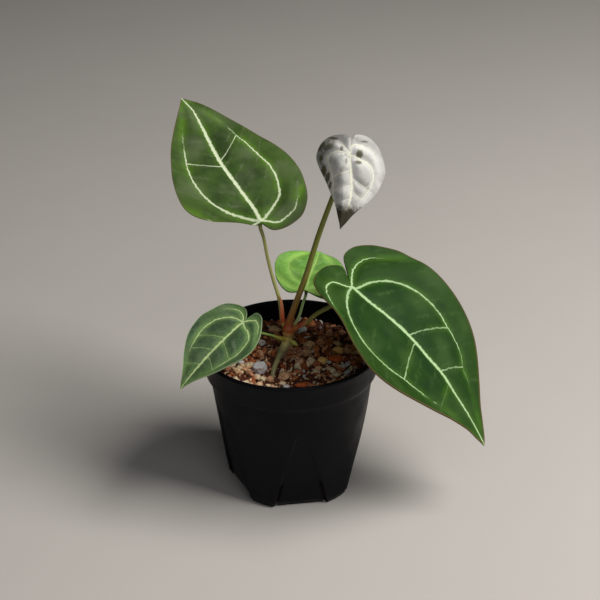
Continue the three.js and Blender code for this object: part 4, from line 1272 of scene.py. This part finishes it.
def blade_piece(blade):
    """A blade as a sheet of spokes and rings round its hub, marked for its veins and thickened."""
    normal = Vector(blade["normal"]).normalized()
    along = Vector(blade["along"])
    along = (along - normal * along.dot(normal)).normalized()
    across = normal.cross(along)
    girth = 2.2 * (blade["length"] + blade["half_width"])
    spokes = int(girth / SPOKE_STEP / 2)
    rings = int(0.75 * blade["length"] / RING_STEP) + 10
    left = smooth_run(blade["left"], spokes + 1, 0.5, even=True)
    right = smooth_run(blade["right"], spokes + 1, 0.5, even=True)
    outline = np.vstack([right[::-1], left[1:]])
    hub = np.array(blade["hub"], dtype=float)
    store = {}

    def place(turn, share):
        index = turn * (len(outline) - 1)
        places = range(len(outline))
        edge = np.stack([np.interp(index, places, outline[:, axis]) for axis in range(3)], axis=1)
        x = hub[0] + (edge[:, 0] - hub[0]) * share
        y = hub[1] + (edge[:, 1] - hub[1]) * share
        marks = blade_marks_on_mesh(blade, x, y)
        height = blade_height(blade, x, y, edge[:, 2], share, marks)
        store.update(marks, x=x, y=y)
        corners = np.array(blade["attach"], dtype=float) + np.outer(x, along) + np.outer(y, across)
        return (corners + np.outer(height, normal)) * MM

    piece, _, reach = grid(len(outline) - 1, rings, place)
    for key in ("rib", "loop", "basal", "cross", "along", "out", "cell"):
        mark(piece, key, store[key])
    mark(piece, "reach", reach)
    flat = np.stack([store["x"], store["y"]], axis=1) / UV_SPAN + 0.5
    corners = np.zeros(len(piece.data.loops), dtype=np.int32)
    piece.data.loops.foreach_get("vertex_index", corners)
    piece.data.uv_layers[0].data.foreach_set("uv", flat[corners].reshape(-1))
    merge(piece, 0.000004)
    piece.data.update()
    facing = sum((polygon.normal.dot(normal) for polygon in piece.data.polygons), 0.0)
    if facing < 0:
        edit_all(piece, bpy.ops.mesh.flip_normals)
    wall = piece.modifiers.new("thickness", "SOLIDIFY")
    wall.thickness = LEAF_THICKNESS * MM
    wall.offset = 0
    wall.material_offset = 1
    wall.material_offset_rim = 1
    apply_modifiers(piece)
    smooth(piece, 60)
    return piece


def sheath_piece(sheath, seed):
    """A thin curved sheet round one side of a stalk, with a ragged tip."""
    spine = STALKS[sheath["stalk"]]
    centres = [np.array(point[:3], dtype=float) for point in spine]
    radii = [point[3] for point in spine]
    facing = Vector(sheath["facing"])

    def place(across, up):
        corners = []
        for turn, rise in zip(across, up):
            ragged = 0.05 * noise.noise(Vector((turn * 9, seed, 0))) * rise
            run = sheath["start"] + (sheath["end"] - sheath["start"]) * (rise + ragged)
            centre = smooth_point(centres, run)
            tangent = Vector(smooth_point(centres, run + 0.0005) - centre).normalized()
            front = (facing - tangent * facing.dot(tangent)).normalized()
            side = tangent.cross(front)
            spread = sheath["wide"] + (SHEATH_TIP - sheath["wide"]) * rise * rise
            angle = spread * (2 * turn - 1)
            flare = 0.25 * rise * rise + 0.05 * noise.noise(Vector((turn * 5, rise * 4, seed)))
            radius = float(np.interp(run * (len(radii) - 1), range(len(radii)), radii)) + SHEATH_CLEAR + flare
            out = front * math.cos(angle) + side * math.sin(angle)
            corners.append(Vector(centre) + out * radius)
        return np.array(corners) * MM

    piece, across, up = grid(22, 40, place)
    mark(piece, "run", up)
    mark(piece, "turn", across)
    wall = piece.modifiers.new("thickness", "SOLIDIFY")
    wall.thickness = SHEATH_THICKNESS * MM
    wall.offset = 0
    apply_modifiers(piece)
    face_out(piece)
    smooth(piece, 50)
    return piece


class PotSettings(bpy.types.PropertyGroup):
    """Sizes and colour of the nursery pot."""

    foot_radius: bpy.props.FloatProperty(
        name="Foot radius", description="Outer radius of the pot at its foot", default=0.0325, unit="LENGTH"
    )
    shoulder_radius: bpy.props.FloatProperty(
        name="Shoulder radius", description="Outer radius under the collar", default=0.0405, unit="LENGTH"
    )
    wall: bpy.props.FloatProperty(
        name="Wall", description="Thickness of the wall", default=0.0014, unit="LENGTH"
    )
    floor: bpy.props.FloatProperty(
        name="Floor", description="Thickness of the floor", default=0.0018, unit="LENGTH"
    )
    flats: bpy.props.IntProperty(name="Flats", description="Flat facets round the body", default=5)
    front_degrees: bpy.props.FloatProperty(
        name="Front flat", description="Direction of the flat at the front, in degrees from +X", default=276.6
    )
    edge: bpy.props.FloatProperty(
        name="Edge", description="Width of the rounding on sharp edges", default=0.00022, unit="LENGTH"
    )
    colour: bpy.props.FloatVectorProperty(
        name="Colour", description="Colour of the plastic", default=(0.002, 0.002, 0.0040), subtype="COLOR"
    )


class MixSettings(bpy.types.PropertyGroup):
    """How the growing mix is covered."""

    chips: bpy.props.IntProperty(name="Chips", description="Bark chips on the mix", default=520)
    crumbs: bpy.props.IntProperty(name="Crumbs", description="Small crumbs on the mix", default=1300)
    white_bits: bpy.props.IntProperty(
        name="White bits", description="Small pumice bits on the mix", default=60
    )
    fibres: bpy.props.IntProperty(name="Fibres", description="Fine roots and fibres on the mix", default=70)
    seed: bpy.props.IntProperty(name="Seed", description="Seed of the random draws", default=7)


class StageSettings(bpy.types.PropertyGroup):
    """Camera, light and floor."""

    lens: bpy.props.FloatProperty(name="Lens", description="Focal length in millimetres", default=85)
    key: bpy.props.FloatProperty(
        name="Key light", description="Power of the key light", default=19.5, unit="POWER"
    )
    fill: bpy.props.FloatProperty(name="Fill", description="Strength of the even light", default=0.05)
    floor: bpy.props.FloatVectorProperty(
        name="Floor", description="Colour of the floor", default=(0.505, 0.48, 0.456), subtype="COLOR"
    )


class ANTHURIUM_OT_stage(bpy.types.Operator):
    """Adds the camera, the lights and the plain floor"""

    bl_idname = "anthurium.stage"
    bl_label = "Stage"

    def execute(self, context):
        settings = context.scene.anthurium_stage
        deselect()
        bpy.ops.object.camera_add()
        camera = bpy.context.object
        camera.data.lens = settings.lens
        camera.data.sensor_width = 36
        right = Vector(CAMERA["right"])
        up = Vector(CAMERA["up"])
        ahead = Vector(CAMERA["ahead"])
        turn = Matrix((right, up, -ahead)).transposed().to_4x4()
        camera.matrix_world = Matrix.Translation(CAMERA["place"]) @ turn
        context.scene.camera = camera
        for name, place, target, size, power, tint in (
            ("key_light", (0.72, -0.26, 1.02), (0.05, 0, 0.05), 0.66, settings.key, (1.0, 0.97, 0.92)),
            ("soft_front", (0.3, -1.15, 1.0), (0, 0, 0.1), 1.0, 0.21 * settings.key, (0.97, 0.98, 1.0)),
        ):
            bpy.ops.object.light_add(type="AREA", location=place)
            light = bpy.context.object
            light.name = name
            light.data.size = size
            light.data.energy = power
            light.data.color = tint
            light.rotation_euler = (Vector(target) - Vector(place)).to_track_quat("-Z", "Y").to_euler()
        world = bpy.data.worlds.new("even_light")
        world.use_nodes = True
        world.node_tree.nodes["Background"].inputs["Color"].default_value = (0.96, 0.98, 1.0, 1.0)
        world.node_tree.nodes["Background"].inputs["Strength"].default_value = settings.fill
        context.scene.world = world
        context.scene.view_settings.view_transform = "Standard"
        deselect()
        bpy.ops.mesh.primitive_plane_add(size=8)
        floor = bpy.context.object
        floor.name = "floor"
        finish = Finish("floor_paint", 0.75, Specular_IOR_Level=0.2)
        cloud = finish.clouds(finish.coordinates(), 9, 4, 0.6)
        plain = (*settings.floor, 1.0)
        darker = (*[0.93 * part for part in settings.floor], 1.0)
        finish.colour(finish.blend(cloud, darker, plain))
        floor.data.materials.append(finish.material)
        return {"FINISHED"}


class ANTHURIUM_OT_pot(bpy.types.Operator):
    """Adds the black nursery pot with its flats and drain slits"""

    bl_idname = "anthurium.pot"
    bl_label = "Nursery pot"

    def execute(self, context):
        settings = context.scene.anthurium_pot
        wall = settings.wall / MM
        inner = [(cone_radius(z, settings) - wall, float(z)) for z in range(60, 3, -4)]
        floor = settings.floor / MM
        profile = OUTSIDE + INSIDE + inner + [(cone_radius(floor, settings) - wall - 0.6, floor)]
        columns = settings.flats * (FLAT_COLUMNS + ROUND_COLUMNS)
        pot = turned(profile, columns)
        press_flats(pot, settings, settings.front_degrees)
        face_out(pot)
        cutter = slit_cutters(settings)
        cut = pot.modifiers.new("slits", "BOOLEAN")
        cut.object = cutter
        cut.solver = "EXACT"
        cut.use_self = True
        soften = pot.modifiers.new("edges", "BEVEL")
        soften.width = settings.edge
        soften.segments = 2
        soften.limit_method = "ANGLE"
        soften.angle_limit = math.radians(32)
        apply_modifiers(pot)
        focus(cutter)
        bpy.ops.object.delete()
        smooth(pot, 35)
        crease(pot, settings)
        settle(pot, "pot_shell", "pot_plastic", [pot_finish(settings)], "nursery_pot")
        return {"FINISHED"}


class ANTHURIUM_OT_mix(bpy.types.Operator):
    """Adds the growing mix with its chips, crumbs and fibres"""

    bl_idname = "anthurium.mix"
    bl_label = "Growing mix"

    def execute(self, context):
        pot = context.scene.anthurium_pot
        settings = context.scene.anthurium_mix
        draw = random.Random(settings.seed)
        bark = bark_finish(
            "bark_chips",
            (
                # The near-black first stop is painted shade, taken by the bed's sides and, together with the
                # next stop, by the bed's top between the chips
                (0.0, (22, 13, 10)),
                (0.14, (96, 50, 34)),
                (0.32, (168, 88, 44)),
                (0.5, (202, 122, 70)),
                (0.66, (216, 150, 116)),
                (0.82, (236, 186, 136)),
                (1.0, (248, 224, 186)),
            ),
        )
        settle(self.bed(pot), "mix_bed", "bark_mix", [bark], "growing_mix")
        shapes = [rock(2, seed, 7, 0.35) for seed in range(5)]
        spots = spots_to_clear()
        chips = scatter(shapes, chip_places(draw, settings.chips, (1.1, 3.2), (0.35, 0.7), 0.3, spots))
        smooth(chips, 30)
        settle(chips, "bark_chip_layer", "bark_mix", [bark])
        shapes = [rock(1, seed, 3, 0.4) for seed in range(20, 24)]
        crumbs = scatter(shapes, chip_places(draw, settings.crumbs, (0.35, 1.0), (0.5, 0.8), 0.9, spots))
        smooth(crumbs, 30)
        settle(crumbs, "mix_crumbs", "bark_mix", [bark])
        white = stone_finish("pumice_bits", (168, 160, 156), (226, 220, 214), (120, 104, 96))
        shapes = [rock(2, seed, 4, 0.3) for seed in range(40, 43)]
        bits = scatter(shapes, chip_places(draw, settings.white_bits, (0.5, 1.5), (0.6, 0.9), 1.1, spots))
        smooth(bits, 50)
        settle(bits, "white_bits", "pumice", [white])
        settle(self.fibres(draw, settings), "fine_roots", "bark_mix", [bark])
        return {"FINISHED"}

    def bed(self, pot):
        gap = pot.wall / MM + 0.6
        profile = [(cone_radius(3, pot) - gap, 2.4)]
        profile += [(cone_radius(z, pot) - gap, float(z)) for z in range(6, 61, 6)]
        profile += [(38.2, 62.8), (40.8, 65.2), (41.5, 67.2), (MIX_RADIUS, MIX_EDGE)]
        profile += [(MIX_RADIUS * (1 - ring / MIX_RINGS), MIX_EDGE) for ring in range(1, MIX_RINGS)]
        bed = turned(profile, pot.flats * (FLAT_COLUMNS + ROUND_COLUMNS))
        press_flats(bed, pot, pot.front_degrees)
        for corner in bed.data.vertices:
            if corner.co.z > (MIX_EDGE - 0.5) * MM:
                x, y, _ = corner.co / MM
                bump = noise.fractal(Vector((x, y, 0)) * 0.22, 1.0, 2.0, 4)
                away = (x - BED_DIP["x"]) ** 2 + (y - BED_DIP["y"]) ** 2
                dip = BED_DIP["depth"] * math.exp(-(away / BED_DIP["spread"]))
                corner.co.z = (mix_height(x, y) - BED_SINK + BED_BUMP * bump - dip) * MM
        bed.data.update()
        face_out(bed)
        # The bed's top takes a low tint and its buried sides none, so they come out dark brown and
        # near-black: painted shade between the chips and through the slits
        top = [0.13 if corner.co.z > (MIX_EDGE - 1.5) * MM else 0.0 for corner in bed.data.vertices]
        mark(bed, "tint", top)
        smooth(bed, 60)
        return bed

    def fibres(self, draw, settings):
        made = []
        for index in range(settings.fibres):
            near_stem = index < settings.fibres * 0.45
            spread = 7 if near_stem else 36
            radius = spread * math.sqrt(draw.random())
            angle = draw.uniform(0, 2 * math.pi)
            x = radius * math.cos(angle) - (1.0 if near_stem else 0)
            y = radius * math.sin(angle) - (3.0 if near_stem else 0)
            heading = draw.uniform(0, 2 * math.pi)
            thickness = draw.uniform(0.08, 0.2)
            spine = []
            for step in range(5):
                heading += draw.uniform(-0.7, 0.7)
                x += 1.25 * math.cos(heading)
                y += 1.25 * math.sin(heading)
                x, y = self.kept_in(x, y)
                arch = 1.5 * math.sin(math.pi * step / 4) * draw.uniform(0.4, 1.2)
                spine.append((x, y, mix_height(x, y) + 1.3 + arch, thickness))
            fibre = tube(spine, sides=5, rows=12)
            mark(fibre, "tint", np.full(len(fibre.data.vertices), draw.uniform(0.35, 1.0)))
            made.append(fibre)
        return joined(made)

    def kept_in(self, x, y):
        reach = math.hypot(x, y)
        share = min(1.0, (MIX_RADIUS - 2.5) / max(reach, 0.01))
        return x * share, y * share


class ANTHURIUM_OT_chunks(bpy.types.Operator):
    """Adds the loose chunks that lie in the mix: pumice, clay and bark"""

    bl_idname = "anthurium.chunks"
    bl_label = "Loose chunks"

    orange = ((0.0, (170, 72, 30)), (0.5, (214, 104, 48)), (1.0, (240, 156, 92)))
    pale = ((0.0, (204, 142, 106)), (0.5, (232, 184, 140)), (1.0, (248, 222, 184)))

    def execute(self, context):
        finishes = {
            "pumice": stone_finish("pumice_stone", (176, 174, 176), (226, 224, 224), (116, 112, 112)),
            "clay": stone_finish("fired_clay", (238, 162, 78), (255, 224, 150), (176, 96, 46)),
            "bark_orange": bark_finish("orange_bark", self.orange),
            "bark_pale": bark_finish("pale_bark", self.pale),
        }
        chunks = [entry for entry in frame["record"]["subparts"] if entry["material_slot"] in finishes]
        for seed, entry in enumerate(chunks):
            node = entry["node"]
            slot = entry["material_slot"]
            low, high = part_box(node)
            planes = 2 if slot in ("pumice", "clay") and "ball" in node else 9
            chunk = rock(4, 60 + seed, planes, 0.22)
            points = np.array([corner.co for corner in chunk.data.vertices])
            size = points.max(axis=0) - points.min(axis=0)
            middle = (points.max(axis=0) + points.min(axis=0)) / 2
            scale = CHUNK_GROWTH * np.array(high - low) / size
            for corner in chunk.data.vertices:
                corner.co = Vector((np.array(corner.co) - middle) * scale + np.array(high + low) / 2)
            chunk.data.update()
            mark(chunk, "tint", np.full(len(chunk.data.vertices), 0.3 + 0.4 * random.Random(seed).random()))
            smooth(chunk, 35)
            settle(chunk, f"{node}_chunk", slot, [finishes[slot]], node)
        return {"FINISHED"}


class ANTHURIUM_OT_stem(bpy.types.Operator):
    """Adds the stem with its crown, the thick root, the side bud and the papery sheaths"""

    bl_idname = "anthurium.stem"
    bl_label = "Stem and root"

    def execute(self, context):
        stem = stalk_finish(
            "stem_skin",
            (
                (0.0, (96, 88, 66)),
                (0.36, (132, 122, 112)),
                (0.44, (128, 114, 70)),
                (0.55, (230, 222, 152)),
                (0.70, (226, 202, 118)),
                (0.82, (186, 98, 50)),
                (1.0, (150, 50, 30)),
            ),
            (150, 126, 60),
        )
        root_stops = ((0.0, (146, 136, 108)), (0.4, (156, 154, 104)), (1.0, (132, 120, 80)))
        root = stalk_finish("root_skin", root_stops, (150, 146, 104))
        bud_stops = ((0.0, (150, 144, 60)), (0.6, (196, 192, 88)), (1.0, (214, 204, 120)))
        bud = stalk_finish("bud_skin", bud_stops, (170, 170, 70))

        def rings(run):
            return 1 + 0.05 * math.sin(run * 60) * (run > 0.4) * (run < 0.85)

        settle(tube(STEM, 28, 150, 0, rings), "stem_skin", "stem", [stem], "stem")
        wavy = tube(ROOT, 20, 90, 0, lambda run: 1 + 0.06 * math.sin(run * 33))
        settle(wavy, "root_skin", "root", [root], "aerial_root")
        settle(tube(BUD, 16, 40), "bud_skin", "stem", [bud], "side_bud")
        paper = sheath_finish()
        for seed, (node, sheath) in enumerate(SHEATHS.items()):
            settle(sheath_piece(sheath, seed + 1), f"{node}_paper", "sheath", [paper], node)
        return {"FINISHED"}


class ANTHURIUM_OT_stalks(bpy.types.Operator):
    """Adds the five leaf stalks"""

    bl_idname = "anthurium.stalks"
    bl_label = "Leaf stalks"

    stops = {
        "petiole_1": (
            (0.0, (176, 92, 52)),
            (0.12, (168, 148, 78)),
            (0.35, (170, 172, 100)),
            (0.85, (138, 140, 72)),
            (1.0, (104, 112, 56)),
        ),
        "petiole_2": (
            (0.0, (178, 78, 40)),
            (0.10, (170, 94, 42)),
            (0.26, (142, 104, 38)),
            (0.5, (120, 122, 40)),
            (1.0, (108, 128, 46)),
        ),
        "petiole_3": (
            (0.0, (200, 100, 50)),
            (0.20, (186, 112, 50)),
            (0.34, (152, 144, 66)),
            (0.7, (140, 152, 72)),
            (1.0, (156, 168, 90)),
        ),
        "petiole_4": (
            (0.0, (176, 160, 70)),
            (0.2, (186, 176, 76)),
            (0.34, (136, 160, 84)),
            (1.0, (122, 156, 80)),
        ),
        "petiole_5": (
            (0.0, (170, 168, 92)),
            (0.3, (184, 214, 134)),
            (0.78, (176, 212, 128)),
            (0.86, (62, 92, 46)),
            (1.0, (66, 98, 50)),
        ),
    }

    def execute(self, context):
        for node, spine in STALKS.items():
            finish = stalk_finish(f"{node}_skin", self.stops[node], (96, 88, 40))

            def swell(run):
                knee = math.exp(-(((run - 0.95) / 0.035) ** 2))
                return 1 + 0.16 * knee

            settle(tube(spine, extend=0.35, swell=swell), f"{node}_skin", "leaf_stalk", [finish], node)
        return {"FINISHED"}


class ANTHURIUM_OT_blades(bpy.types.Operator):
    """Adds the five blades with their veins"""

    bl_idname = "anthurium.blades"
    bl_label = "Blades"

    def execute(self, context):
        for node, blade in BLADES.items():
            style = LEAF_STYLES[node]
            below = dict(style)
            for key in ("dark", "light", "outer", "glow"):
                below[key] = tuple(0.6 * a + 0.4 * b for a, b in zip(style[key], (150, 164, 118)))
            upper = leaf_finish(f"{node}_top", blade, style)
            lower = leaf_finish(f"{node}_back", blade, below, under=True)
            settle(blade_piece(blade), f"{node}_leaf", BLADE_SLOT[node], [upper, lower], node)
        return {"FINISHED"}


class ANTHURIUM_PT_panel(bpy.types.Panel):
    """Lists the steps in the sidebar"""

    bl_idname = "ANTHURIUM_PT_panel"
    bl_label = "Potted anthurium"
    bl_space_type = "VIEW_3D"
    bl_region_type = "UI"
    bl_category = "Anthurium"

    def draw(self, context):
        scene = context.scene
        for operator in STEPS:
            self.layout.operator(operator.bl_idname)
        for settings in (scene.anthurium_pot, scene.anthurium_mix, scene.anthurium_stage):
            box = self.layout.box()
            for key in settings.__annotations__:
                box.prop(settings, key)


SETTINGS = {
    "anthurium_pot": PotSettings,
    "anthurium_mix": MixSettings,
    "anthurium_stage": StageSettings,
}
STEPS = (
    ANTHURIUM_OT_stage,
    ANTHURIUM_OT_pot,
    ANTHURIUM_OT_mix,
    ANTHURIUM_OT_chunks,
    ANTHURIUM_OT_stem,
    ANTHURIUM_OT_stalks,
    ANTHURIUM_OT_blades,
)


def register():
    for kind in (*SETTINGS.values(), *STEPS, ANTHURIUM_PT_panel):
        bpy.utils.register_class(kind)
    for name, kind in SETTINGS.items():
        setattr(bpy.types.Scene, name, bpy.props.PointerProperty(type=kind))


def unregister():
    for name in SETTINGS:
        delattr(bpy.types.Scene, name)
    for kind in reversed((*SETTINGS.values(), *STEPS, ANTHURIUM_PT_panel)):
        bpy.utils.unregister_class(kind)


def main():
    register()
    for step in STEPS:
        name = step.bl_idname.split(".")[1]
        getattr(bpy.ops.anthurium, name)()
    deselect()
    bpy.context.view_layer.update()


if __name__ == "__main__":
    main()
